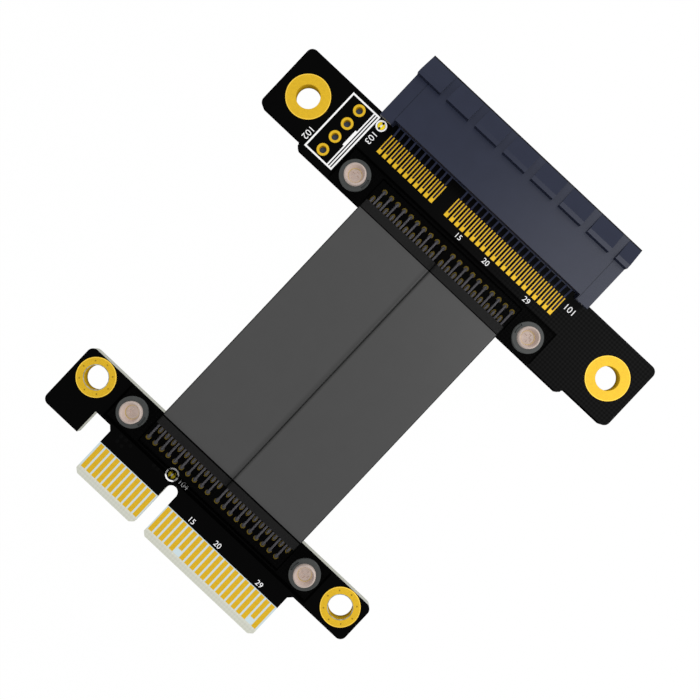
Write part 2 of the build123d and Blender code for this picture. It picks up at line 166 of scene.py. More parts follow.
class PlatingSettings(bpy.types.PropertyGroup):
    gold_colour: FloatVectorProperty(
        name="Gold", description="Colour of the gold plating",
        default=(0.67, 0.42, 0.014), subtype="COLOR",
    )
    # The bright rim of a hole ring is a painted highlight along its outer edge
    rim_highlight_colour: FloatVectorProperty(
        name="Rim gold", description="Colour of the bright rim of a hole ring",
        default=(1.0, 0.66, 0.08), subtype="COLOR",
    )
    rim_width: FloatProperty(
        name="Rim width", description="Width of the bright rim of a hole ring",
        default=0.00014, unit="LENGTH",
    )
    hole_diameter: FloatProperty(
        name="Hole diameter", description="Bore of the mounting holes",
        default=0.0035, unit="LENGTH",
    )
    via_circle: FloatProperty(
        name="Via circle", description="Diameter of the circle of small holes in a plug board ring",
        default=0.00472, unit="LENGTH",
    )
    header_hole_diameter: FloatProperty(
        name="Header hole", description="Bore of the header holes", default=0.00106, unit="LENGTH",
    )


class PrintSettings(bpy.types.PropertyGroup):
    ink_colour: FloatVectorProperty(
        name="Ink", description="Colour of the screen print",
        default=(1.0, 1.0, 1.0), subtype="COLOR",
    )
    ink_thickness: FloatProperty(
        name="Ink thickness", description="Height of the screen print",
        default=0.00003, unit="LENGTH",
    )
    digit_height: FloatProperty(
        name="Digit height", description="Height of the printed digits",
        default=0.00095, unit="LENGTH",
    )
    circle_line: FloatProperty(
        name="Circle line", description="Line width of the circles round the test pads",
        default=0.00023, unit="LENGTH",
    )


class ConnectorSettings(bpy.types.PropertyGroup):
    plastic_colour: FloatVectorProperty(
        name="Housing", description="Colour of the slot housing",
        default=(0.020, 0.024, 0.044), subtype="COLOR",
    )
    contact_colour: FloatVectorProperty(
        name="Contacts", description="Colour of the contact tails",
        default=(0.020, 0.024, 0.048), subtype="COLOR",
    )
    foot_colour: FloatVectorProperty(
        name="Contact feet", description="Colour of the soldered feet of the contacts",
        default=(0.002, 0.002, 0.026), subtype="COLOR",
    )
    foot_to: FloatProperty(
        name="Feet to", description="Y up to which a contact is a soldered foot",
        default=0.0270, unit="LENGTH",
    )
    contact_gold_from: FloatProperty(
        name="Gold from", description="Y above which the contact springs are gold plated",
        default=0.0318, unit="LENGTH",
    )


class CableSettings(bpy.types.PropertyGroup):
    jacket_colour: FloatVectorProperty(
        name="Jacket", description="Colour of the cable jackets",
        default=(0.066, 0.066, 0.066), subtype="COLOR",
    )
    edge_width: FloatProperty(
        name="Edge width", description="Width over which a jacket's long sides round off",
        default=0.0003, unit="LENGTH",
    )
    wire_diameter: FloatProperty(
        name="Wire diameter", description="Diameter of a bared conductor",
        default=0.00033, unit="LENGTH",
    )
    wire_colour: FloatVectorProperty(
        name="Wire", description="Colour of the tinned conductors",
        default=(0.37, 0.36, 0.40), subtype="COLOR",
    )
    far_pad_diameter: FloatProperty(
        name="Far pad", description="Diameter of the round pads of the far row",
        default=0.00077, unit="LENGTH",
    )
    near_pad_length: FloatProperty(
        name="Near pad length", description="Length of the oval pads of the near row",
        default=0.00115, unit="LENGTH",
    )
    near_pad_width: FloatProperty(
        name="Near pad width", description="Width of the oval pads of the near row",
        default=0.00062, unit="LENGTH",
    )


class CoverSettings(bpy.types.PropertyGroup):
    tint: FloatVectorProperty(
        name="Cover tint", description="Colour of the smoked covers",
        default=(0.0, 0.0, 0.0), subtype="COLOR",
    )
    cloud: FloatProperty(
        name="Cloud", description="Share of light that one face of a cover stops",
        default=0.53, subtype="FACTOR",
    )
    side_cloud: FloatProperty(
        name="Side cloud", description="Share of light that a cover's side stops, seen edge on",
        default=0.95, subtype="FACTOR",
    )
    edge_width: FloatProperty(
        name="Edge bevel", description="Width of the bevel round a cover's upper edge",
        default=0.00012, unit="LENGTH",
    )


class FastenerSettings(bpy.types.PropertyGroup):
    head_diameter: FloatProperty(
        name="Head", description="Diameter of the screw heads", default=0.00312, unit="LENGTH",
    )
    recess_diameter: FloatProperty(
        name="Recess", description="Diameter of the dished recess in a head",
        default=0.00262, unit="LENGTH",
    )
    collar_diameter: FloatProperty(
        name="Collar size", description="Diameter of the collars", default=0.00447, unit="LENGTH",
    )
    nickel_colour: FloatVectorProperty(
        name="Nickel", description="Colour of the plated screws and nuts",
        default=(0.46, 0.38, 0.34), subtype="COLOR",
    )
    collar_colour: FloatVectorProperty(
        name="Collar", description="Colour of the collars",
        default=(0.060, 0.064, 0.063), subtype="COLOR",
    )
    thread_pitch: FloatProperty(
        name="Thread pitch", description="Pitch of the cover screws", default=0.0004, unit="LENGTH",
    )


# Meshes


def mm(length):
    """A stored length in millimetres."""
    return length * MM_PER_M


def node_box(node):
    """Lowest and highest corners of a CAD node, in millimetres."""
    return [Vector(corner) * MM_PER_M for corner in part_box(node)]


def middle(box):
    """Middle of a pair of corners."""
    return (box[0] + box[1]) / 2


def merged_copy(node):
    """A CAD node's mesh in millimetres, with its triangles joined along their edges."""
    bm = bmesh.new()
    bm.from_mesh(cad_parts[node].data)
    bmesh.ops.scale(bm, vec=(MM_PER_M,) * 3, verts=bm.verts)
    bmesh.ops.remove_doubles(bm, verts=bm.verts, dist=MERGE_DISTANCE)
    return bm


def solid_boxes(node):
    """Corners of each separate solid of a CAD node in millimetres, in order along X and Y."""
    bm = merged_copy(node)
    unreached = set(bm.verts)
    boxes = []
    while unreached:
        front = [unreached.pop()]
        reached = []
        while front:
            vert = front.pop()
            reached.append(vert.co)
            nearby = {edge.other_vert(vert) for edge in vert.link_edges} & unreached
            unreached -= nearby
            front.extend(nearby)
        low = Vector([min(place[axis] for place in reached) for axis in range(3)])
        high = Vector([max(place[axis] for place in reached) for axis in range(3)])
        boxes.append((low, high))
    bm.free()
    return sorted(boxes, key=lambda box: tuple(round(value, 2) for value in middle(box)))


def flat_place(x, y):
    """A move along X and Y only."""
    return Vector((x, y, 0))


def places_of(boxes):
    """Middles of boxes, as moves along X and Y."""
    return [flat_place(middle(box).x, middle(box).y) for box in boxes]


def add_piece(name, bm, material, replaced=(), turn_outwards=True):
    """Makes an object of a mesh drawn in millimetres, as a piece that rides on the part."""
    if turn_outwards:
        bmesh.ops.recalc_face_normals(bm, faces=bm.faces)
    bmesh.ops.scale(bm, vec=(1 / MM_PER_M,) * 3, verts=bm.verts)
    mesh = bpy.data.meshes.new(name)
    bm.to_mesh(mesh)
    bm.free()
    mesh.shade_smooth()
    mesh.set_sharp_from_angle(angle=SHARP_ANGLE)
    mesh.materials.append(material)
    piece = bpy.data.objects.new(name, mesh)
    bpy.context.scene.collection.objects.link(piece)
    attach(piece, "root")
    if replaced:
        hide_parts(*replaced)
    return piece


def finish_nodes(nodes, material):
    """Gives CAD nodes that stay in view a detailed finish."""
    for node in nodes:
        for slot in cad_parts[node].material_slots:
            slot.material = material


def verts_in(geometry):
    """Vertices among the geometry that an operator returned."""
    return [item for item in geometry if isinstance(item, bmesh.types.BMVert)]


def edges_in(geometry):
    """Edges among the geometry that an operator returned."""
    return [item for item in geometry if isinstance(item, bmesh.types.BMEdge)]


def spin_section(bm, section, closed, steps=SPIN_STEPS):
    """Turns a section of (radius, z) points about the upright axis."""
    verts = [bm.verts.new((radius, 0, z)) for radius, z in section]
    edges = [bm.edges.new(pair) for pair in zip(verts, verts[1:])]
    if closed:
        edges.append(bm.edges.new((verts[-1], verts[0])))
    bmesh.ops.spin(
        bm, geom=verts + edges, cent=(0, 0, 0), axis=(0, 0, 1),
        angle=FULL_TURN, steps=steps, use_merge=True,
    )
    bmesh.ops.remove_doubles(bm, verts=bm.verts, dist=MERGE_DISTANCE)


def spread(bm, places):
    """Leaves a copy of all that is drawn at each place, and takes the first away."""
    pattern = bm.verts[:] + bm.edges[:] + bm.faces[:]
    first = bm.verts[:]
    for place in places:
        copy = bmesh.ops.duplicate(bm, geom=pattern)["geom"]
        bmesh.ops.translate(bm, vec=place, verts=verts_in(copy))
    bmesh.ops.delete(bm, geom=first, context="VERTS")


def spun_piece(name, section, places, material, replaced=(), closed=True, steps=SPIN_STEPS):
    """Copies of a turned shape as one piece."""
    bm = bmesh.new()
    spin_section(bm, section, closed, steps)
    spread(bm, places)
    return add_piece(name, bm, material, replaced)


# Finishes


def new_finish(name, colour, roughness, metallic=0.0, specular=0.5):
    """A material with one Principled shader, and that shader."""
    material = bpy.data.materials.new(name)
    material.use_nodes = True
    shader = material.node_tree.nodes["Principled BSDF"]
    shader.inputs["Base Color"].default_value = (*colour, 1)
    shader.inputs["Roughness"].default_value = roughness
    shader.inputs["Metallic"].default_value = metallic
    shader.inputs["Specular IOR Level"].default_value = specular
    return material, shader


def object_place(material):
    """Where a point lies in the part's own axes."""
    return material.node_tree.nodes.new("ShaderNodeTexCoord").outputs["Object"]


def parts_of(material, vector):
    """The X, Y and Z of a vector socket."""
    split = material.node_tree.nodes.new("ShaderNodeSeparateXYZ")
    material.node_tree.links.new(vector, split.inputs[0])
    return split.outputs


def speckle(material, size, detail=3.0):
    """Soft random values, in grains of the given size in metres."""
    noise = material.node_tree.nodes.new("ShaderNodeTexNoise")
    noise.inputs["Scale"].default_value = 1 / size
    noise.inputs["Detail"].default_value = detail
    material.node_tree.links.new(object_place(material), noise.inputs["Vector"])
    return noise.outputs["Fac"]


def ridges(material, axis, pitch):
    """Even ridges across an axis, of the given pitch in metres."""
    wave = material.node_tree.nodes.new("ShaderNodeTexWave")
    wave.wave_type = "BANDS"
    wave.bands_direction = axis
    wave.inputs["Scale"].default_value = pi / (10 * pitch)
    wave.inputs["Distortion"].default_value = 0.0
    material.node_tree.links.new(object_place(material), wave.inputs["Vector"])
    return wave.outputs["Fac"]


def calculate(material, operation, *values):
    """A Math node's result; each value is a number or a socket."""
    node = material.node_tree.nodes.new("ShaderNodeMath")
    node.operation = operation
    for socket, value in zip(node.inputs, values):
        if isinstance(value, (int, float)):
            socket.default_value = value
        else:
            material.node_tree.links.new(value, socket)
    return node.outputs[0]


def combine(material, operation, *values):
    """Several values taken together two by two, such as their product."""
    result = values[0]
    for value in values[1:]:
        result = calculate(material, operation, result, value)
    return result


def within(material, value, low, high):
    """1 where a value lies between two limits, 0 elsewhere."""
    offset = calculate(material, "SUBTRACT", value, (low + high) / 2)
    distance = calculate(material, "ABSOLUTE", offset)
    return calculate(material, "LESS_THAN", distance, (high - low) / 2)


def uprightness(material):
    """1 on level faces, 0 on walls."""
    normal = material.node_tree.nodes.new("ShaderNodeNewGeometry").outputs["Normal"]
    return calculate(material, "ABSOLUTE", parts_of(material, normal)["Z"])


def on_walls(material):
    """1 on walls, 0 on level faces."""
    return calculate(material, "LESS_THAN", uprightness(material), 0.5)


def move_range(material, value, source, target=(0.0, 1.0)):
    """A value moved from one range to another, and kept inside it."""
    node = material.node_tree.nodes.new("ShaderNodeMapRange")
    names = ("From Min", "From Max", "To Min", "To Max")
    for name, limit in zip(names, (*source, *target)):
        node.inputs[name].default_value = limit
    material.node_tree.links.new(value, node.inputs["Value"])
    return node.outputs["Result"]


def spread_range(material, value, low, high):
    """A random value, which seldom leaves the middle of 0 to 1, moved to another range."""
    return move_range(material, value, (0.3, 0.7), (low, high))


def blend_colours(material, share, first, second):
    """First colour where the share is 0, second where it is 1."""
    mix = material.node_tree.nodes.new("ShaderNodeMix")
    mix.data_type = "RGBA"
    material.node_tree.links.new(share, mix.inputs["Factor"])
    for socket, colour in ((mix.inputs[6], first), (mix.inputs[7], second)):
        if isinstance(colour, bpy.types.NodeSocket):
            material.node_tree.links.new(colour, socket)
        else:
            socket.default_value = (*colour, 1)
    return mix.outputs[2]


def scaled_colour(colour, factor):
    """A colour made lighter or darker."""
    return [min(1.0, value * factor) for value in colour]


def paint(material, shader, socket, value):
    """Feeds a socket of the shader."""
    material.node_tree.links.new(value, shader.inputs[socket])


def roughen(material, shader, height, depth):
    """Relief of the given depth in metres."""
    bump = material.node_tree.nodes.new("ShaderNodeBump")
    bump.inputs["Strength"].default_value = 1.0
    bump.inputs["Distance"].default_value = depth
    material.node_tree.links.new(height, bump.inputs["Height"])
    paint(material, shader, "Normal", bump.outputs["Normal"])


def mottle(material, shader, colour, size, tones):
    """Slow drift of a colour by a share of itself, over the given size in metres."""
    share = spread_range(material, speckle(material, size), 0.0, 1.0)
    darker = scaled_colour(colour, 1 - tones)
    lighter = scaled_colour(colour, 1 + tones)
    tone = blend_colours(material, share, darker, lighter)
    paint(material, shader, "Base Color", tone)
    return tone


def add_grain(material, shader, size, roughness, depth, detail=4.0):
    """Grain that shows in the gloss, between two roughnesses, and in the relief."""
    grain = speckle(material, size, detail)
    paint(material, shader, "Roughness", spread_range(material, grain, *roughness))
    roughen(material, shader, grain, depth)


def plain_finish(name, colour, roughness, specular, drift, tones, grain, depth):
    """One drifting colour over a fine relief; drift, grain and depth are in metres."""
    material, shader = new_finish(name, colour, roughness, specular=specular)
    mottle(material, shader, colour, drift, tones)
    roughen(material, shader, speckle(material, grain), depth)
    return material


def under_cover(material, place):
    """1 below a smoked cover and 0 elsewhere; below a cover, a painted sheen lifts the black of the
    mask in place of the cover's reflection of the softbox.
    """
    covered = 0.0
    for cover in ("socket_cover", "plug_cover"):
        low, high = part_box(cover)
        inside = [within(material, place["XYZ"[axis]], low[axis], high[axis]) for axis in (0, 1)]
        covered = calculate(material, "ADD", combine(material, "MULTIPLY", *inside), covered)
    return covered


def board_finish():
    """Black mask over glass weave, bare laminate at the card edge and on the cut edges."""
    settings = bpy.context.scene.riser_boards
    material, shader = new_finish("solder_mask_board", settings.mask_colour, 0.35, specular=0.024)
    place = parts_of(material, object_place(material))
    walls = on_walls(material)
    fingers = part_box("card_fingers_upper")
    past_edge = calculate(
        material, "MULTIPLY",
        calculate(material, "LESS_THAN", place["Y"], settings.mask_edge),
        within(material, place["X"], fingers[0][0] - TAB_MARGIN, fingers[1][0] + TAB_MARGIN),
    )
    bare = calculate(material, "MAXIMUM", walls, past_edge)
    beside_fingers = calculate(
        material, "MULTIPLY",
        calculate(material, "GREATER_THAN", place["Y"], fingers[0][1]), past_edge,
    )
    across = ridges(material, "X", settings.weave_pitch)
    along = ridges(material, "Y", settings.weave_pitch)
    weave = calculate(material, "MULTIPLY", calculate(material, "ADD", across, along), 0.5)
    glass = blend_colours(
        material, weave, scaled_colour(settings.laminate_colour, 0.94),
        scaled_colour(settings.laminate_colour, 1.05),
    )
    glass = blend_colours(material, beside_fingers, glass, settings.gap_colour)
    layers = calculate(material, "MAXIMUM", ridges(material, "Z", LAYER_PITCH), 0.5)
    layers = calculate(material, "MULTIPLY", layers, walls)
    glass = blend_colours(material, layers, glass, scaled_colour(settings.laminate_colour, 0.6))
    mask = blend_colours(
        material, weave, settings.mask_colour, scaled_colour(settings.mask_colour, 2.2)
    )
    # Painted sheen on the mask below the covers
    sheened_mask = blend_colours(material, weave, *MASK_PAINTED_SHEEN)
    mask = blend_colours(material, under_cover(material, place), mask, sheened_mask)
    paint(material, shader, "Base Color", blend_colours(material, bare, mask, glass))
    paint(material, shader, "Roughness", spread_range(material, weave, 0.42, 0.28))
    relief = calculate(material, "ADD", weave, speckle(material, 0.0001))
    roughen(material, shader, relief, 0.000002)
    return material


def mask_finish():
    """Black mask alone, for tented holes."""
    colour = scaled_colour(bpy.context.scene.riser_boards.mask_colour, 2)
    return plain_finish(
        "solder_mask_tent", colour, 0.38, specular=0.035,
        drift=0.0003, tones=0.3, grain=0.0001, depth=0.000004,
    )


def edge_shade_finish():
    """Near-black painted shade, without gloss, on a routed edge that faces away from the softbox.
    """
    return plain_finish(
        "edge_painted_shade", EDGE_PAINTED_SHADE, 0.8, specular=0.0,
        drift=0.0002, tones=0.3, grain=0.0001, depth=0.000006,
    )


def ledge_finish():
    """Weathered ring of laminate between a hole's ring and its barrel."""
    material, shader = new_finish("ledge_laminate", WEATHERED_LAMINATE, 0.8, specular=0.0)
    mottle(material, shader, WEATHERED_LAMINATE, 0.0005, tones=0.7)
    return material


def gold_finish(name, colour):
    """Immersion gold over copper, with the grain of the copper below."""
    material, shader = new_finish(name, colour, 0.6, metallic=0.37, specular=0.2)
    shader.inputs["Coat Weight"].default_value = 0.09
    shader.inputs["Coat Roughness"].default_value = SHEEN_ROUGHNESS
    mottle(material, shader, colour, 0.0004, tones=0.05)
    add_grain(material, shader, 0.00006, roughness=(0.52, 0.66), depth=0.000004)
    return material


def barrel_finish():
    """Plated bore, with painted shade that darkens it towards its lower end."""
    gold = bpy.context.scene.riser_plating.gold_colour
    material, shader = new_finish("gold_bore", gold, 0.7, specular=0.0)
    low, high = board_faces()
    place = parts_of(material, object_place(material))
    height = move_range(material, place["Z"], (low / MM_PER_M, high / MM_PER_M))
    # Painted shade: the bore darkens towards its lower end
    tone = blend_colours(material, height, scaled_colour(gold, 0.3), scaled_colour(gold, 1.1))
    paint(material, shader, "Base Color", tone)
    roughen(material, shader, speckle(material, 0.0001), 0.000008)
    return material


def via_finish():
    """Inside of a small plated hole that is closed with mask."""
    material, shader = new_finish("via_shadow", SHADED_VIA, 0.6, specular=0.1)
    mottle(material, shader, SHADED_VIA, 0.0001, tones=0.2)
    return material


def ink_finish():
    """White screen print, a little grainy."""
    return plain_finish(
        "screen_print_ink", bpy.context.scene.riser_print.ink_colour, 0.7, specular=0.2,
        drift=0.0002, tones=0.04, grain=0.00008, depth=0.000006,
    )


def housing_finish():
    """Moulded slate plastic with a fine spark-eroded texture, and painted shade along the slot's
    mouth edge.
    """
    colour = bpy.context.scene.riser_connector.plastic_colour
    material, shader = new_finish("slot_plastic", colour, SHEEN_ROUGHNESS, specular=0.135)
    tone = mottle(material, shader, colour, 0.002, tones=0.04)
    place = parts_of(material, object_place(material))
    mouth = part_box("slot_housing")[1][1] - MOUTH_SHADE_LINE
    # A dark line along the mouth: painted shade where the edge turns away from the light
    at_mouth = calculate(material, "GREATER_THAN", place["Y"], mouth)
    tone = blend_colours(material, at_mouth, tone, scaled_colour(colour, 0.05))
    paint(material, shader, "Base Color", tone)
    gloss = (SHEEN_ROUGHNESS - 0.03, SHEEN_ROUGHNESS + 0.03)
    add_grain(material, shader, 0.00009, gloss, depth=0.000002)
    return material


def contact_finish():
    """Dull tails that turn to gold where the spring touches the card."""
    settings = bpy.context.scene.riser_connector
    colour = settings.contact_colour
    material, shader = new_finish("spring_contact", colour, 0.45, metallic=0.1, specular=0.06)
    place = parts_of(material, object_place(material))
    plated = calculate(material, "GREATER_THAN", place["Y"], settings.contact_gold_from)
    soldered = calculate(material, "LESS_THAN", place["Y"], settings.foot_to)
    drift = spread_range(material, speckle(material, 0.0003), 0.0, 1.0)
    dull = blend_colours(material, drift, scaled_colour(colour, 0.85), scaled_colour(colour, 1.2))
    tail = blend_colours(material, soldered, dull, settings.foot_colour)
    gold = bpy.context.scene.riser_plating.gold_colour
    paint(material, shader, "Base Color", blend_colours(material, plated, tail, gold))
    roughen(material, shader, speckle(material, 0.00005), 0.000003)
    return material


def jacket_finish():
    """Satin cable jacket with a faint cloth-like grain, darker towards the seam."""
    colour = bpy.context.scene.riser_cable.jacket_colour
    material, shader = new_finish("cable_jacket", colour, SHEEN_ROUGHNESS, specular=0.11)
    tone = mottle(material, shader, colour, 0.003, tones=0.015)
    place = parts_of(material, object_place(material))
    seam = cable_seam() / MM_PER_M
    shade = 1.0
    for reach in SEAM_SHADE:
        fade = move_range(material, place["X"], (seam + reach, seam))
        shade = calculate(material, "MULTIPLY", fade, shade)
    tone = blend_colours(material, shade, tone, scaled_colour(colour, 0.6))
    paint(material, shader, "Base Color", tone)
    grain = [ridges(material, axis, JACKET_GRAIN) for axis in "XY"]
    relief = combine(material, "ADD", *grain, speckle(material, 0.0001))
    roughen(material, shader, relief, 0.000001)
    return material


def jacket_side_shade_finish():
    """Rounded side of a cable jacket, without gloss and painted darker as shade where it turns
    away.
    """
    colour = scaled_colour(bpy.context.scene.riser_cable.jacket_colour, 0.35)
    return plain_finish(
        "cable_jacket_edge_shade", colour, 0.8, specular=0.0,
        drift=0.002, tones=0.03, grain=0.0001, depth=0.000002,
    )


def tin_finish(name, colour, roughness=0.6):
    """Tinned or soldered metal with soft crystal grain."""
    material, shader = new_finish(name, colour, roughness, metallic=0.2, specular=0.1)
    mottle(material, shader, colour, 0.00015, tones=0.12)
    gloss = (roughness - 0.08, roughness + 0.1)
    add_grain(material, shader, 0.00008, gloss, depth=0.000006, detail=3.0)
    return material


def cover_finish():
    """Smoked clear plastic; each face stops a share of the light."""
    settings = bpy.context.scene.riser_covers
    material, shader = new_finish("smoked_cover", settings.tint, 0.3, specular=0.0)
    place = parts_of(material, object_place(material))
    cables = (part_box("ribbon_jacket_left")[0][0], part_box("ribbon_jacket_right")[1][0])
    plug_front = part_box("plug_cover")[1][1] - FRONT_MARGIN
    socket_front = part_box("socket_cover")[0][1] + FRONT_MARGIN
    extra = combine(
        material, "MULTIPLY", on_walls(material), within(material, place["X"], *cables),
        within(material, place["Y"], plug_front, socket_front),
        settings.side_cloud - settings.cloud,
    )
    haze = spread_range(
        material, speckle(material, 0.003), settings.cloud - 0.012, settings.cloud + 0.012
    )
    paint(material, shader, "Alpha", calculate(material, "ADD", extra, haze))
    roughen(material, shader, speckle(material, 0.001), 0.000001)
    return material


def collar_finish():
    """Grey moulded plastic."""
    return plain_finish(
        "collar_plastic", bpy.context.scene.riser_fasteners.collar_colour, SHEEN_ROUGHNESS,
        specular=0.08, drift=0.0012, tones=0.08, grain=0.0001, depth=0.000002,
    )


def nickel_finish():
    """Plated steel with a fine grain, and painted light that makes its walls lighter against the
    shade of the recesses.
    """
    colour = bpy.context.scene.riser_fasteners.nickel_colour
    material, shader = new_finish("nickel_plating", colour, 0.5, metallic=0.06, specular=0.1)
    tone = mottle(material, shader, colour, 0.0006, tones=0.08)
    # Walls are painted lighter: painted light that offsets the shade in the recesses
    tone = blend_colours(material, uprightness(material), scaled_colour(colour, 1.6), tone)
    paint(material, shader, "Base Color", tone)
    add_grain(material, shader, 0.00008, roughness=(0.4, 0.54), depth=0.000004)
    return material


# Stage


def seen_directly(owner):
    """1 on rays from the camera and in mirror and clear surfaces, 0 on light's own rays."""
    path = owner.node_tree.nodes.new("ShaderNodeLightPath")
    seen = path.outputs["Is Camera Ray"]
    for kind in ("Is Glossy Ray", "Is Transmission Ray"):
        seen = calculate(owner, "MAXIMUM", seen, path.outputs[kind])
    return seen


def blend_shaders(owner, share, first, second, output):
    """Feeds the output with the first shader where the share is 0, the second where it is 1."""
    links = owner.node_tree.links
    mix = owner.node_tree.nodes.new("ShaderNodeMixShader")
    links.new(share, mix.inputs["Fac"])
    links.new(first, mix.inputs[1])
    links.new(second, mix.inputs[2])
    links.new(mix.outputs["Shader"], owner.node_tree.nodes[output].inputs["Surface"])


def add_floor(settings):
    """Plain white floor; the camera sees it as white as the sky."""
    bm = bmesh.new()
    bmesh.ops.create_grid(bm, x_segments=1, y_segments=1, size=settings.floor_size / 2)
    mesh = bpy.data.meshes.new("floor")
    bm.to_mesh(mesh)
    bm.free()
    material, shader = new_finish("floor_white", FLOOR_WHITE, 0.9, specular=0.0)
    glow = material.node_tree.nodes.new("ShaderNodeEmission")
    glow.inputs["Strength"].default_value = 1.0
    share = calculate(material, "MULTIPLY", seen_directly(material), settings.backdrop_glow)
    blend_shaders(
        material, share, shader.outputs["BSDF"], glow.outputs["Emission"], "Material Output"
    )
    mesh.materials.append(material)
    floor = bpy.data.objects.new("floor", mesh)
    bpy.context.scene.collection.objects.link(floor)


def light_sky(settings):
    """Even light from all round, which looks plain white."""
    world = bpy.data.worlds.new("studio")
    world.use_nodes = True
    light = world.node_tree.nodes["Background"]
    white = world.node_tree.nodes.new("ShaderNodeBackground")
    for background, strength in ((light, settings.sky_strength), (white, 1.0)):
        background.inputs["Color"].default_value = (1, 1, 1, 1)
        background.inputs["Strength"].default_value = strength
    blend_shaders(
        world, seen_directly(world), light.outputs[0], white.outputs[0], "World Output"
    )
    bpy.context.scene.world = world


def add_softbox(settings):
    """Large soft light high over the +X +Y corner, which casts no shadow."""
    light = bpy.data.lights.new("softbox", "AREA")
    light.energy = settings.softbox_power
    light.size = settings.softbox_size
    light.use_shadow = False
    box = bpy.data.objects.new("softbox", light)
    box.location = settings.softbox_place
    aim = -Vector(settings.softbox_place)
    box.rotation_euler = aim.to_track_quat("-Z", "Y").to_euler()
    bpy.context.scene.collection.objects.link(box)


def add_camera(settings):
    """Camera that looks straight down, turned about the upright axis."""
    lens = bpy.data.cameras.new("camera")
    lens.lens = settings.camera_lens
    lens.sensor_width = 36.0
    lens.clip_start = 0.001
    camera = bpy.data.objects.new("camera", lens)
    camera.location = (*settings.camera_place, settings.camera_height)
    camera.rotation_euler = (0, 0, settings.camera_turn)
    bpy.context.scene.collection.objects.link(camera)
    bpy.context.scene.camera = camera


class RISER_OT_stage(bpy.types.Operator):
    """Lays the floor and sets the lights and the camera"""

    bl_idname = "riser.stage"
    bl_label = "Stage"

    def execute(self, context):
        settings = context.scene.riser_stage
        add_floor(settings)
        light_sky(settings)
        add_softbox(settings)
        add_camera(settings)
        context.scene.view_settings.view_transform = "Standard"
        return {"FINISHED"}


# Boards and print


def board_faces():
    """Heights of the boards' lower and upper faces, in millimetres."""
    low, high = node_box("socket_board")
    return low.z, high.z


class RISER_OT_boards(bpy.types.Operator):
    """Gives both boards their mask and laminate, and adds the covered vias"""

    bl_idname = "riser.boards"
    bl_label = "Boards"

    # X and Y in millimetres
    via_places = [
        (-15.4, -30.15), (-14.5, -30.1), (-13.5, -30.2), (-15.3, -31.0), (-14.4, -31.1),
        (-9.2, -29.95), (-8.45, -29.95),
    ]

    def execute(self, context):
        finish = board_finish()
        finish_nodes(("plug_board",), finish)
        self.shade_edge(finish)
        top = board_faces()[1]
        section = [
            (0.0, top + 0.015), (0.13, top + 0.02), (0.24, top + 0.012), (0.3, top - 0.01),
            (0.0, top - 0.01),
        ]
        places = [flat_place(x, y) for x, y in self.via_places]
        spun_piece(
            "covered_vias", section, places, mask_finish(),
            closed=False, steps=16,
        )
        return {"FINISHED"}

    def shade_edge(self, finish):
        """The socket board, whose walls that face −Y are painted near black as shade."""
        bm = merged_copy("socket_board")
        for face in bm.faces:
            # Walls that face −Y, away from the softbox, take the painted shade
            face.material_index = int(face.normal.y < -0.5)
        board = add_piece(
            "socket_board_shaded_edge", bm, finish, ("socket_board",),
            turn_outwards=False,
        )
        board.data.shade_flat()
        board.data.materials.append(edge_shade_finish())


def number_mesh(text, height, thickness):
    """Printed digits centred on the origin, in metres."""
    curve = bpy.data.curves.new("digits", "FONT")
    curve.body = text
    curve.size = height / DIGIT_SHARE_OF_SIZE
    curve.align_x = "CENTER"
    curve.align_y = "CENTER"
    curve.extrude = thickness / 2
    curve.offset = -height * DIGIT_THINNING
    digits = bpy.data.objects.new("digits", curve)
    bpy.context.scene.collection.objects.link(digits)
    bpy.context.view_layer.update()
    mesh = bpy.data.meshes.new_from_object(digits)
    bpy.data.objects.remove(digits)
    return mesh


def print_digits(name, text, x, y, turn, height, material):
    """Digits printed on a board's upper face, at a place in millimetres."""
    settings = bpy.context.scene.riser_print
    mesh = number_mesh(text, height, settings.ink_thickness)
    rest = board_faces()[1] / MM_PER_M + settings.ink_thickness / 2
    move = Matrix.Translation((x / MM_PER_M, y / MM_PER_M, rest))
    mesh.transform(move @ Matrix.Rotation(turn, 4, "Z"))
    mesh.name = name
    bm = bmesh.new()
    bm.from_mesh(mesh)
    bmesh.ops.scale(bm, vec=(MM_PER_M,) * 3, verts=bm.verts)
    bmesh.ops.remove_doubles(bm, verts=bm.verts, dist=MERGE_DISTANCE)
    return add_piece(name, bm, material)


class RISER_OT_screen_print(bpy.types.Operator):
    """Prints the header's outline, the circles round the test pads and plain numbers"""

    bl_idname = "riser.screen_print"
    bl_label = "Screen print"

    # Text, X and Y in millimetres, turn in degrees, height against the usual
    numbers = {
        "number_slot_end": ("101", 18.5, 26.2, 0, 1.0),
        "number_header": ("102", -25.56, 19.2, -90, 1.0),
        "number_slot_start": ("103", -18.6, 24.75, -90, 1.0),
        "number_test_pad": ("104", -4.3, -29.1, 0, 0.85),
        "pin_mark_15": ("15", -0.06, 23.0, 0, 0.85),
        "pin_mark_20": ("20", 5.22, 23.0, 0, 0.85),
        "pin_mark_29": ("29", 13.1, 23.0, 0, 0.85),
        "edge_mark_15": ("15", 0.03, -31.97, 0, 0.85),
        "edge_mark_20": ("20", 5.03, -31.97, 0, 0.85),
        "edge_mark_29": ("29", 13.1, -31.97, 0, 0.85),
    }

    # Outer diameters in millimetres
    circle_diameters = {"socket_test_pad": 1.65, "plug_test_pad": 2.0}

    def execute(self, context):
        settings = context.scene.riser_print
        ink = ink_finish()
        finish_nodes(("header_legend",), ink)
        for name, (text, x, y, turn, share) in self.numbers.items():
            height = settings.digit_height * share
            print_digits(name, text, x, y, radians(turn), height, ink)
        top = board_faces()[1]
        high = top + mm(settings.ink_thickness)
        for node, diameter in self.circle_diameters.items():
            outer = diameter / 2
            inner = outer - mm(settings.circle_line)
            section = [(inner, top), (outer, top), (outer, high), (inner, high)]
            places = places_of([node_box(node)])
            spun_piece(node + "_circle", section, places, ink)
        return {"FINISHED"}


# Gold


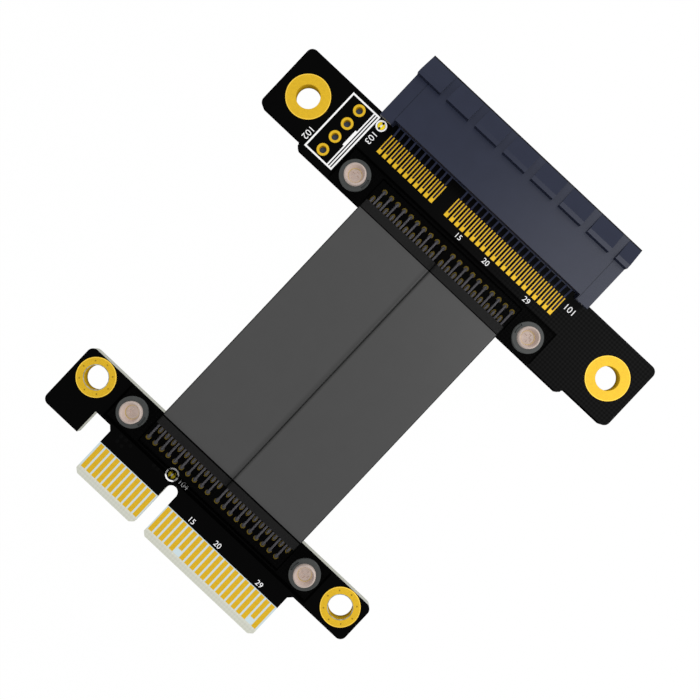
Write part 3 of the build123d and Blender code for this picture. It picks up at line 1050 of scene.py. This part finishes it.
class RISER_OT_gold_pads(bpy.types.Operator):
    """Gives the card-edge fingers and the slot's pads their gold, and builds the test pads"""

    bl_idname = "riser.gold_pads"
    bl_label = "Fingers and pads"

    # Raised solder strip across a test pad, painted near white as a highlight, and a dark notch
    # beyond each end of it. Shares are of the pad's radius, and lengths are in millimetres
    strip_length_share = 0.95
    strip_width = 0.26
    strip_rise = 0.03
    notch_place_share = 0.82
    notch_length = 0.42
    notch_width = 0.34

    def execute(self, context):
        settings = context.scene.riser_plating
        gold = gold_finish("gold_fingers", settings.gold_colour)
        nodes = [
            "card_fingers_upper", "card_fingers_lower", "socket_pads_upper", "socket_pads_lower",
        ]
        finish_nodes(nodes, gold)
        bright = tin_finish("gold_test_pads", TEST_PAD_GOLD)
        # The strip's near-white colour is a painted highlight
        white = tin_finish("solder_painted_highlight", SOLDER_PAINTED_HIGHLIGHT)
        black = mask_finish()
        for node in ("socket_test_pad", "plug_test_pad"):
            low, high = node_box(node)
            radius = (high.y - low.y) / 2
            place = middle((low, high))
            top = high.z
            section = [
                (0.0, low.z), (radius, low.z), (radius, top - 0.02), (radius - 0.04, top),
                (0.0, top),
            ]
            spun_piece(
                node + "_disc", section, places_of([(low, high)]), bright,
                (node,), closed=False,
            )
            length = radius * self.strip_length_share
            self.add_strip(node + "_solder_strip", place, length, self.strip_width, top, white)
            for side in (-1, 1):
                notch = place + Vector((0, side * radius * self.notch_place_share, 0))
                self.add_strip(
                    f"{node}_notch_{side + 1}", notch, self.notch_length, self.notch_width,
                    top, black,
                )
        return {"FINISHED"}

    def add_strip(self, name, place, length, width, top, material):
        """Low strip with rounded ends that lies along Y on a pad."""
        strip = bmesh.new()
        bmesh.ops.create_uvsphere(strip, u_segments=12, v_segments=6, radius=1.0)
        size = (width / 2, length / 2, self.strip_rise)
        bmesh.ops.scale(strip, vec=size, verts=strip.verts)
        bmesh.ops.translate(strip, vec=(place.x, place.y, top), verts=strip.verts)
        add_piece(name, strip, material)


def hole_section(ring_radius, bore_radius, step, low, high, copper):
    """Section of a plated hole: rings on both faces, joined by the barrel.

    A step leaves that width of bare laminate between the upper ring and the bore.
    """
    upper = high + copper
    lower = low - copper
    soft = 0.03
    barrel = bore_radius + 0.09
    inner_edge = [(bore_radius, upper - 0.06), (bore_radius, upper - 0.025)]
    if step:
        inner_edge = [(bore_radius, high - 0.02), (bore_radius + step, high - 0.02)]
    return [
        (bore_radius + step + soft, upper), (ring_radius - soft, upper),
        (ring_radius, upper - soft), (ring_radius, high), (barrel, high - 0.005), (barrel, low),
        (ring_radius, low), (ring_radius, lower + soft), (ring_radius - soft, lower),
        (bore_radius + 0.05, lower), (bore_radius, lower + 0.05), *inner_edge,
    ]


def add_lining(name, bore, places):
    """Thin plated lining of a hole through a board."""
    low, high = board_faces()
    inner, outer = bore - 0.012, bore + 0.01
    section = [(inner, low + 0.02), (outer, low), (outer, high - 0.04), (inner, high - 0.06)]
    spun_piece(name, section, places, barrel_finish())


class RISER_OT_plated_holes(bpy.types.Operator):
    """Turns the gold rings and barrels of the mounting holes"""

    bl_idname = "riser.plated_holes"
    bl_label = "Mounting holes"

    via_count = 8

    # Bare laminate between the ring and the bore of the plug board's holes, in millimetres
    plug_step = 0.09

    def execute(self, context):
        settings = context.scene.riser_plating
        gold = gold_finish("gold_rings", settings.gold_colour)
        bright = gold_finish("gold_rim_highlights", settings.rim_highlight_colour)
        low, high = board_faces()
        bore = mm(settings.hole_diameter) / 2
        face = node_box("socket_hole_plating")[1].z
        for board, step in (("socket", 0.0), ("plug", self.plug_step)):
            node = board + "_hole_plating"
            boxes = solid_boxes(node)
            places = places_of(boxes)
            ring = (boxes[0][1].y - boxes[0][0].y) / 2
            section = hole_section(ring, bore, step, low, high, face - high)
            spun_piece(board + "_hole_rings", section, places, gold, (node,))
            # A brighter gold band along the ring's outer edge: a painted highlight
            inner = ring - mm(settings.rim_width)
            rim = [
                (inner, face - 0.01), (ring - 0.02, face - 0.01),
                (ring - 0.05, face + 0.012), (inner + 0.02, face + 0.012),
            ]
            spun_piece(board + "_hole_rim_highlights", rim, places, bright)
            add_lining(board + "_hole_linings", bore, places)
            if step:
                self.add_vias(settings, places, face)
                outer = bore + step + 0.02
                ledge = [
                    (bore, high - 0.03), (outer, high - 0.03),
                    (outer, high + 0.01), (bore + 0.01, high + 0.01),
                ]
                spun_piece("plug_hole_ledges", ledge, places, ledge_finish())
        return {"FINISHED"}

    def add_vias(self, settings, holes, top):
        """Small closed holes on a circle round each mounting hole."""
        radius = mm(settings.via_circle) / 2
        turns = [FULL_TURN * step / self.via_count for step in range(self.via_count)]
        around = [Vector((radius * cos(turn), radius * sin(turn), 0)) for turn in turns]
        places = [hole + offset for hole in holes for offset in around]
        section = [(0.0, top + 0.004), (0.12, top + 0.006), (0.15, top - 0.01), (0.0, top - 0.01)]
        spun_piece(
            "plug_ring_vias", section, places, via_finish(),
            closed=False, steps=12,
        )


class RISER_OT_header_holes(bpy.types.Operator):
    """Turns the header's plated holes and the solder that closes them"""

    bl_idname = "riser.header_holes"
    bl_label = "Header holes"

    def execute(self, context):
        settings = context.scene.riser_plating
        boxes = solid_boxes("header_hole_plating")
        places = places_of(boxes)
        low, high = board_faces()
        copper = boxes[0][1].z - high
        bore = mm(settings.header_hole_diameter) / 2
        ring = (boxes[0][1].y - boxes[0][0].y) / 2
        section = hole_section(ring, bore, 0.0, low, high, copper)
        spun_piece(
            "header_hole_rings", section, places, gold_finish("gold_header", settings.gold_colour),
            ("header_hole_plating",), steps=32,
        )
        add_lining("header_hole_linings", bore, places)
        solder_top = node_box("header_hole_solder")[1].z
        meniscus = [
            (0.0, solder_top), (bore * 0.5, solder_top + 0.03), (bore * 0.85, solder_top + 0.12),
            (bore, solder_top + 0.22), (bore, low - copper), (bore * 0.6, low - copper - 0.05),
            (0.0, low - copper - 0.07),
        ]
        dull = tin_finish("solder_dull", SOLDER_DULL, 0.7)
        spun_piece(
            "header_solder", meniscus, places, dull, ("header_hole_solder",),
            closed=False, steps=24,
        )
        return {"FINISHED"}


# Slot connector


class RISER_OT_connector(bpy.types.Operator):
    """Finishes the slot housing and its spring contacts"""

    bl_idname = "riser.connector"
    bl_label = "Slot connector"

    # Contacts stand 1 mm apart; each is drawn to this share of its CAD width
    slimmer = 0.78

    def execute(self, context):
        finish_nodes(("slot_housing",), housing_finish())
        finish = contact_finish()
        for node in ("slot_contacts_upper", "slot_contacts_lower"):
            first = middle(solid_boxes(node)[0]).x
            bm = merged_copy(node)
            for vert in bm.verts:
                own = first + round(vert.co.x - first)
                vert.co.x = own + (vert.co.x - own) * self.slimmer
            add_piece(node + "_slim", bm, finish, (node,), turn_outwards=False)
        return {"FINISHED"}


# Cables


def add_wire(bm, path, radius, sides):
    """Round wire through (y, z) points, closed at both ends."""
    turn = Matrix.Translation((0, *path[0])) @ Matrix.Rotation(pi / 2, 4, "X")
    start = bmesh.ops.create_circle(bm, cap_ends=True, segments=sides, radius=radius, matrix=turn)
    edges = list({edge for vert in start["verts"] for edge in vert.link_edges})
    for here, there in zip(path, path[1:]):
        made = bmesh.ops.extrude_edge_only(bm, edges=edges)["geom"]
        edges = edges_in(made)
        move = (0, there[0] - here[0], there[1] - here[1])
        bmesh.ops.translate(bm, vec=move, verts=verts_in(made))
    bmesh.ops.contextual_create(bm, geom=edges)


def add_blob(bm, size, place):
    """Dome of solder that stands on a pad; size gives its half axes."""
    dome = bmesh.ops.create_uvsphere(bm, u_segments=12, v_segments=8, radius=1.0)["verts"]
    bmesh.ops.scale(bm, vec=size, verts=dome)
    bmesh.ops.translate(bm, vec=place, verts=dome)


def add_pad(bm, width, length, place, thickness):
    """Flat round or oval pad whose lower face is at the place."""
    upright = Matrix.Translation((0, 0, thickness / 2))
    pad = bmesh.ops.create_cone(
        bm, cap_ends=True, segments=20, radius1=0.5, radius2=0.49, depth=thickness, matrix=upright
    )["verts"]
    bmesh.ops.scale(bm, vec=(width, length, 1), verts=pad)
    bmesh.ops.translate(bm, vec=place, verts=pad)


def cable_seam():
    """X of the seam between the two cables, in millimetres."""
    return node_box("ribbon_jacket_right")[0].x + SEAM_OFFSET


class RISER_OT_cables(bpy.types.Operator):
    """Rounds the two cable jackets, and closes the gap between them"""

    bl_idname = "riser.cables"
    bl_label = "Cable jackets"

    # How far a jacket's outer edge bulges past its CAD box, in millimetres
    overhang = 0.15

    # Faces that turn this far outwards are the side, painted darker as shade
    side_from = 0.44

    # Border of the flat faces, which keeps the soft shading of the sides off them
    inset = 0.06

    def execute(self, context):
        settings = context.scene.riser_cable
        material = jacket_finish()
        side_shade_material = jacket_side_shade_finish()
        rounding = mm(settings.edge_width)
        # The sides are rounded on a bar just over twice as high, which is then flattened
        full_height = rounding * 2.02
        for side, outwards in (("left", -1), ("right", 1)):
            node = "ribbon_jacket_" + side
            low, high = node_box(node)
            if side == "left":
                low.x -= self.overhang
                high.x = cable_seam()
            else:
                low.x = cable_seam()
                high.x += self.overhang
            size = high - low
            bm = bmesh.new()
            bmesh.ops.create_cube(bm, size=1.0)
            bmesh.ops.scale(bm, vec=(size.x, size.y, full_height), verts=bm.verts)
            long_edges = [
                edge for edge in bm.edges
                if abs(edge.verts[0].co.y - edge.verts[1].co.y) > 1
            ]
            bmesh.ops.bevel(
                bm, geom=long_edges, offset=rounding, segments=6,
                profile=0.5, affect="EDGES", material=-1,
            )
            bmesh.ops.scale(bm, vec=(1, 1, size.z / full_height), verts=bm.verts)
            bm.normal_update()
            flats = [face for face in bm.faces if abs(face.normal.z) > 0.99]
            for face in bm.faces:
                face.material_index = int(face.normal.x * outwards > self.side_from)
            bmesh.ops.inset_individual(bm, faces=flats, thickness=self.inset)
            bmesh.ops.translate(bm, vec=middle((low, high)), verts=bm.verts)
            jacket = add_piece(f"cable_jacket_{side}", bm, material, (node,))
            jacket.data.materials.append(side_shade_material)
        return {"FINISHED"}


class RISER_OT_wire_ends(bpy.types.Operator):
    """Solders the bared conductors to two staggered rows of pads on each board"""

    bl_idname = "riser.wire_ends"
    bl_label = "Wire ends"

    wire_sides = 10

    # Lengths in millimetres
    pad_thickness = 0.03
    into_jacket = 0.2

    # A CAD wire end of more than this many near pads' lengths belongs to the far row
    far_row_from = 1.4

    # How far a far pad's middle lies from the end, and a near wire's share of the reach
    past_far_pad = 0.17
    near_wire_share = 0.75

    # A wire runs level, sags and then drops to its pad; lengths count back from its end
    level_until = 0.55
    drop_from = 0.3
    sag = 0.05

    # Half axes of a solder dome, and how far it stands back from its pad's middle
    far_solder = ((0.31, 0.36, 0.3), 0.13)
    near_solder = ((0.25, 0.51, 0.36), 0.05)

    def execute(self, context):
        settings = context.scene.riser_cable
        wires, blobs, pads = bmesh.new(), bmesh.new(), bmesh.new()
        top = board_faces()[1]
        for board, inwards in (("socket", 1), ("plug", -1)):
            for box in solid_boxes(board + "_wire_ends"):
                self.add_end(settings, (wires, blobs, pads), box, inwards, top)
        ends = ("socket_wire_ends", "plug_wire_ends")
        wire_metal = tin_finish("tinned_wire", settings.wire_colour)
        add_piece("bared_wires", wires, wire_metal, ends)
        bright_solder = tin_finish("solder_bright", SOLDER_BRIGHT)
        add_piece("wire_solder", blobs, bright_solder)
        gold = tin_finish("gold_wire_pads", WIRE_PAD_GOLD)
        add_piece("wire_pads", pads, gold)
        return {"FINISHED"}

    def add_end(self, settings, meshes, box, inwards, top):
        """One wire, its solder and its pad; the box is the CAD wire end's."""
        wires, blobs, pads = meshes
        low, high = box
        start = low.y if inwards > 0 else high.y
        reach = high.y - low.y
        radius = mm(settings.wire_diameter) / 2
        height = high.z - radius
        x = middle(box).x
        path = [(-self.into_jacket, height)]
        if reach > mm(settings.near_pad_length) * self.far_row_from:
            width = length = mm(settings.far_pad_diameter)
            pad_y = end = reach - self.past_far_pad
            blob, blob_back = self.far_solder
            path.append((end - self.level_until, height))
        else:
            width, length = mm(settings.near_pad_width), mm(settings.near_pad_length)
            pad_y = length / 2
            end = reach * self.near_wire_share
            blob, blob_back = self.near_solder
        path += [(end - self.drop_from, height - self.sag), (end, top + radius)]
        points = [(start + inwards * along, z) for along, z in path]
        before = set(wires.verts)
        add_wire(wires, points, radius, self.wire_sides)
        moved = [vert for vert in wires.verts if vert not in before]
        bmesh.ops.translate(wires, vec=(x, 0, 0), verts=moved)
        place = Vector((x, start + inwards * pad_y, top))
        add_pad(pads, width, length, place, self.pad_thickness)
        add_blob(blobs, blob, place - Vector((0, inwards * blob_back, 0)))


# Covers and fasteners


class RISER_OT_covers(bpy.types.Operator):
    """Gives the clamp covers their smoked plastic and soft edges"""

    bl_idname = "riser.covers"
    bl_label = "Clamp covers"

    # Keeps a cover's lower faces off the board and the jackets, in millimetres
    air_gap = 0.02

    # An edge this near to a face of the cover's box lies on it
    tolerance = 0.01

    def execute(self, context):
        material = cover_finish()
        width = mm(context.scene.riser_covers.edge_width)
        for node in ("socket_cover", "plug_cover"):
            low, high = node_box(node)
            bm = merged_copy(node)
            bmesh.ops.dissolve_limit(bm, angle_limit=radians(1), verts=bm.verts, edges=bm.edges)
            for vert in bm.verts:
                if vert.co.z < middle((low, high)).z:
                    vert.co.z += self.air_gap
            rim = [edge for edge in bm.edges if self.on_rim(edge, low, high)]
            bmesh.ops.bevel(
                bm, geom=rim, offset=width, segments=3, profile=0.5, affect="EDGES", material=-1
            )
            cover = add_piece(
                node + "_moulding", bm, material, (node,), turn_outwards=False
            )
            # Clear plastic keeps no light off what lies under it
            cover.visible_shadow = False
            cover.visible_diffuse = False
        return {"FINISHED"}

    def on_rim(self, edge, low, high):
        """Whether an edge runs along the outer edge of the upper face or down a corner."""
        here, there = [vert.co for vert in edge.verts]
        sides = 0
        for axis in (0, 1):
            for limit in (low, high):
                gaps = (abs(here[axis] - limit[axis]), abs(there[axis] - limit[axis]))
                sides += max(gaps) < self.tolerance
        above = min(here.z, there.z) > high.z - self.tolerance
        return sides == 2 or (sides == 1 and above)


def screw_places():
    """Middles of the four cover screws."""
    return places_of(solid_boxes("cover_screws"))


def add_cross_floor(bm, half_side, ring_edges, height, depth):
    """Square floor with a cross-shaped pit, joined to a ring of as many edges as its border."""
    cells = SPIN_STEPS // 4
    grid = bmesh.ops.create_grid(bm, x_segments=cells, y_segments=cells, size=half_side)["verts"]
    bmesh.ops.translate(bm, vec=(0, 0, height), verts=grid)
    inside = set(grid)
    faces = [face for face in bm.faces if all(vert in inside for vert in face.verts)]
    border = [edge for edge in bm.edges if edge.is_boundary and edge.verts[0] in inside]
    bmesh.ops.bridge_loops(bm, edges=border + ring_edges)
    arm = half_side / 3
    slope = 0.03
    cross = [
        face for face in faces
        if min(abs(face.calc_center_median().x), abs(face.calc_center_median().y)) < arm
    ]
    bmesh.ops.recalc_face_normals(bm, faces=bm.faces)
    bmesh.ops.inset_region(
        bm, faces=cross, thickness=slope, depth=-depth, use_boundary=True, use_even_offset=True
    )


class RISER_OT_screws(bpy.types.Operator):
    """Turns the four screws with their dished cross recesses and threads"""

    bl_idname = "riser.screws"
    bl_label = "Screws"

    # Lengths in millimetres
    head_sink = 0.1
    edge_round = 0.12
    edge_break = 0.04
    recess_depth = 1.25
    floor_radius = 0.95
    neck_radius = 1.09
    neck_length = 0.38
    shank_radius = 1.0
    thread_from = 0.5
    cross_depth = 0.22
    root_depth = 0.14

    # Half side of the square floor as a share of the round floor's radius
    square_share = 0.66

    def execute(self, context):
        settings = context.scene.riser_fasteners
        end, top = [corner.z for corner in node_box("cover_screws")]
        seat = node_box("cover_collars")[1].z - self.head_sink
        radius = mm(settings.head_diameter) / 2
        recess = mm(settings.recess_diameter) / 2
        floor = top - self.recess_depth
        soft = self.edge_round
        section = [
            (self.floor_radius, floor), (self.floor_radius + 0.03, floor + self.edge_break),
            (self.neck_radius - 0.06, seat + 0.1), (recess, top - self.edge_break),
            (recess + self.edge_break, top), (radius - soft * 1.6, top),
            (radius - soft * 0.6, top - soft * 0.35), (radius - soft * 0.15, top - soft * 0.9),
            (radius, top - soft * 1.8), (radius, seat + self.edge_break),
            (radius - self.edge_break, seat), (self.neck_radius, seat),
            (self.neck_radius, seat - self.neck_length),
            (self.shank_radius, seat - self.neck_length - 0.02),
            *self.thread_points(seat - self.thread_from, end, mm(settings.thread_pitch)),
            (0.0, end),
        ]
        bm = bmesh.new()
        spin_section(bm, section, closed=False)
        ring = [edge for edge in bm.edges if edge.is_boundary]
        half_side = self.floor_radius * self.square_share
        add_cross_floor(bm, half_side, ring, floor, self.cross_depth)
        spread(bm, screw_places())
        add_piece("screws", bm, nickel_finish(), ("cover_screws",))
        # A warm band low in each recess: a painted reflection, in gold, of the light the recess
        # walls throw back
        inner = self.floor_radius - 0.03
        band = [
            (inner, floor + 0.01), (inner + 0.05, floor + 0.01),
            (inner + 0.08, floor + 0.16), (inner + 0.03, floor + 0.16),
        ]
        reflection_finish = gold_finish("recess_painted_reflection", RECESS_PAINTED_REFLECTION)
        spun_piece("screw_recess_reflections", band, screw_places(), reflection_finish)
        return {"FINISHED"}

    def thread_points(self, start, end, pitch):
        """Roots and crests of the thread, down to a plain end."""
        root = self.shank_radius - self.root_depth
        points = []
        z = start
        while z > end + pitch:
            points += [(root, z), (self.shank_radius, z - pitch / 2)]
            z -= pitch
        return points + [(root, z), (root, end)]


class RISER_OT_collars(bpy.types.Operator):
    """Turns the collars, each with a slit on the side of the cover's middle"""

    bl_idname = "riser.collars"
    bl_label = "Collars"

    # Lengths in millimetres; a slit lies between two radii
    bore_radius = 1.1
    edge = 0.07
    slit_from = 1.84
    slit_to = 2.12
    slit_half_length = 0.65
    slit_depth = 0.4
    slit_taper = 0.02

    def execute(self, context):
        boxes = solid_boxes("cover_collars")
        low, high = boxes[0][0].z, boxes[0][1].z
        radius = mm(context.scene.riser_fasteners.collar_diameter) / 2
        section = [
            (self.bore_radius, low), (radius, low), (radius, high - self.edge),
            (radius - self.edge, high), (self.slit_to, high), (self.slit_from, high),
            (self.bore_radius, high),
        ]
        collars = bmesh.new()
        part_middle = middle(node_box("cover_collars")).x
        for place in places_of(boxes):
            bm = bmesh.new()
            spin_section(bm, section, closed=True)
            bmesh.ops.recalc_face_normals(bm, faces=bm.faces)
            inwards = 1 if place.x < part_middle else -1
            slit = [face for face in bm.faces if self.in_slit(face, inwards)]
            bmesh.ops.inset_region(
                bm, faces=slit, thickness=self.slit_taper, depth=-self.slit_depth,
                use_even_offset=True,
            )
            bmesh.ops.translate(bm, vec=place, verts=bm.verts)
            mesh = bpy.data.meshes.new("collar_copy")
            bm.to_mesh(mesh)
            bm.free()
            collars.from_mesh(mesh)
            bpy.data.meshes.remove(mesh)
        add_piece("collars", collars, collar_finish(), ("cover_collars",))
        return {"FINISHED"}

    def in_slit(self, face, inwards):
        """Whether a face of a collar on the origin lies where its slit goes."""
        place = face.calc_center_median()
        in_reach = self.slit_from < place.x * inwards < self.slit_to
        return face.normal.z > 0.9 and in_reach and abs(place.y) < self.slit_half_length


class RISER_OT_nuts(bpy.types.Operator):
    """Builds the chamfered hex nuts under the boards"""

    bl_idname = "riser.nuts"
    bl_label = "Nuts"

    # Lengths in millimetres
    bore_radius = 1.02
    bore_chamfer = 0.1
    chamfer_angle = radians(30)

    # Share of the half width across flats at which the corners' chamfer starts
    chamfer_from = 0.97

    def execute(self, context):
        boxes = solid_boxes("cover_nuts")
        low, high = boxes[0]
        flat = (high.y - low.y) / 2
        mouth = self.bore_radius + self.bore_chamfer
        bm = bmesh.new()
        rings = [
            self.ring(bm, mouth, high.z),
            self.ring(bm, flat * self.chamfer_from, high.z),
            self.hex_ring(bm, flat, high.z, -1),
            self.hex_ring(bm, flat, low.z, 1),
            self.ring(bm, flat * self.chamfer_from, low.z),
            self.ring(bm, mouth, low.z),
            self.ring(bm, self.bore_radius, low.z + self.bore_chamfer),
            self.ring(bm, self.bore_radius, high.z - self.bore_chamfer),
        ]
        for here, there in zip(rings, rings[1:] + rings[:1]):
            bmesh.ops.bridge_loops(bm, edges=here + there)
        spread(bm, places_of(boxes))
        add_piece("nuts", bm, nickel_finish(), ("cover_nuts",))
        return {"FINISHED"}

    def ring(self, bm, radius, z):
        """Edges of a round loop."""
        height = Matrix.Translation((0, 0, z))
        loop = bmesh.ops.create_circle(bm, segments=SPIN_STEPS, radius=radius, matrix=height)
        return list({edge for vert in loop["verts"] for edge in vert.link_edges})

    def hex_ring(self, bm, flat, face_z, inwards):
        """Edges of a six-sided loop whose corners are drawn in by the chamfer."""
        edges = self.ring(bm, flat, face_z)
        for vert in {vert for edge in edges for vert in edge.verts}:
            turn = atan2(vert.co.y, vert.co.x) % (pi / 3) - pi / 6
            reach = flat / cos(turn)
            vert.co.xy *= reach / flat
            past = reach - flat * self.chamfer_from
            vert.co.z += inwards * past * tan(self.chamfer_angle)
        return edges


# Panel and registration


class RISER_PT_panel(bpy.types.Panel):
    """Steps that dress the riser card"""

    bl_label = "Riser card"
    bl_idname = "RISER_PT_panel"
    bl_space_type = "VIEW_3D"
    bl_region_type = "UI"
    bl_category = "Riser"

    def draw(self, context):
        for operator in OPERATORS:
            self.layout.operator(operator.bl_idname)
        for name in SETTINGS:
            group = getattr(context.scene, name)
            box = self.layout.box()
            for key in group.bl_rna.properties.keys():
                if key not in ("rna_type", "name"):
                    box.prop(group, key)


SETTINGS = {
    "riser_stage": StageSettings,
    "riser_boards": BoardSettings,
    "riser_plating": PlatingSettings,
    "riser_print": PrintSettings,
    "riser_connector": ConnectorSettings,
    "riser_cable": CableSettings,
    "riser_covers": CoverSettings,
    "riser_fasteners": FastenerSettings,
}

OPERATORS = (
    RISER_OT_stage,
    RISER_OT_boards,
    RISER_OT_screen_print,
    RISER_OT_gold_pads,
    RISER_OT_plated_holes,
    RISER_OT_header_holes,
    RISER_OT_connector,
    RISER_OT_cables,
    RISER_OT_wire_ends,
    RISER_OT_covers,
    RISER_OT_screws,
    RISER_OT_collars,
    RISER_OT_nuts,
)


def register():
    for group in SETTINGS.values():
        bpy.utils.register_class(group)
    for name, group in SETTINGS.items():
        setattr(bpy.types.Scene, name, PointerProperty(type=group))
    for operator in OPERATORS:
        bpy.utils.register_class(operator)
    bpy.utils.register_class(RISER_PT_panel)


def unregister():
    bpy.utils.unregister_class(RISER_PT_panel)
    for operator in reversed(OPERATORS):
        bpy.utils.unregister_class(operator)
    for name in SETTINGS:
        delattr(bpy.types.Scene, name)
    for group in reversed(SETTINGS.values()):
        bpy.utils.unregister_class(group)


def main():
    register()
    for operator in OPERATORS:
        group, step = operator.bl_idname.split(".")
        getattr(getattr(bpy.ops, group), step)()


if __name__ == "__main__":
    main()
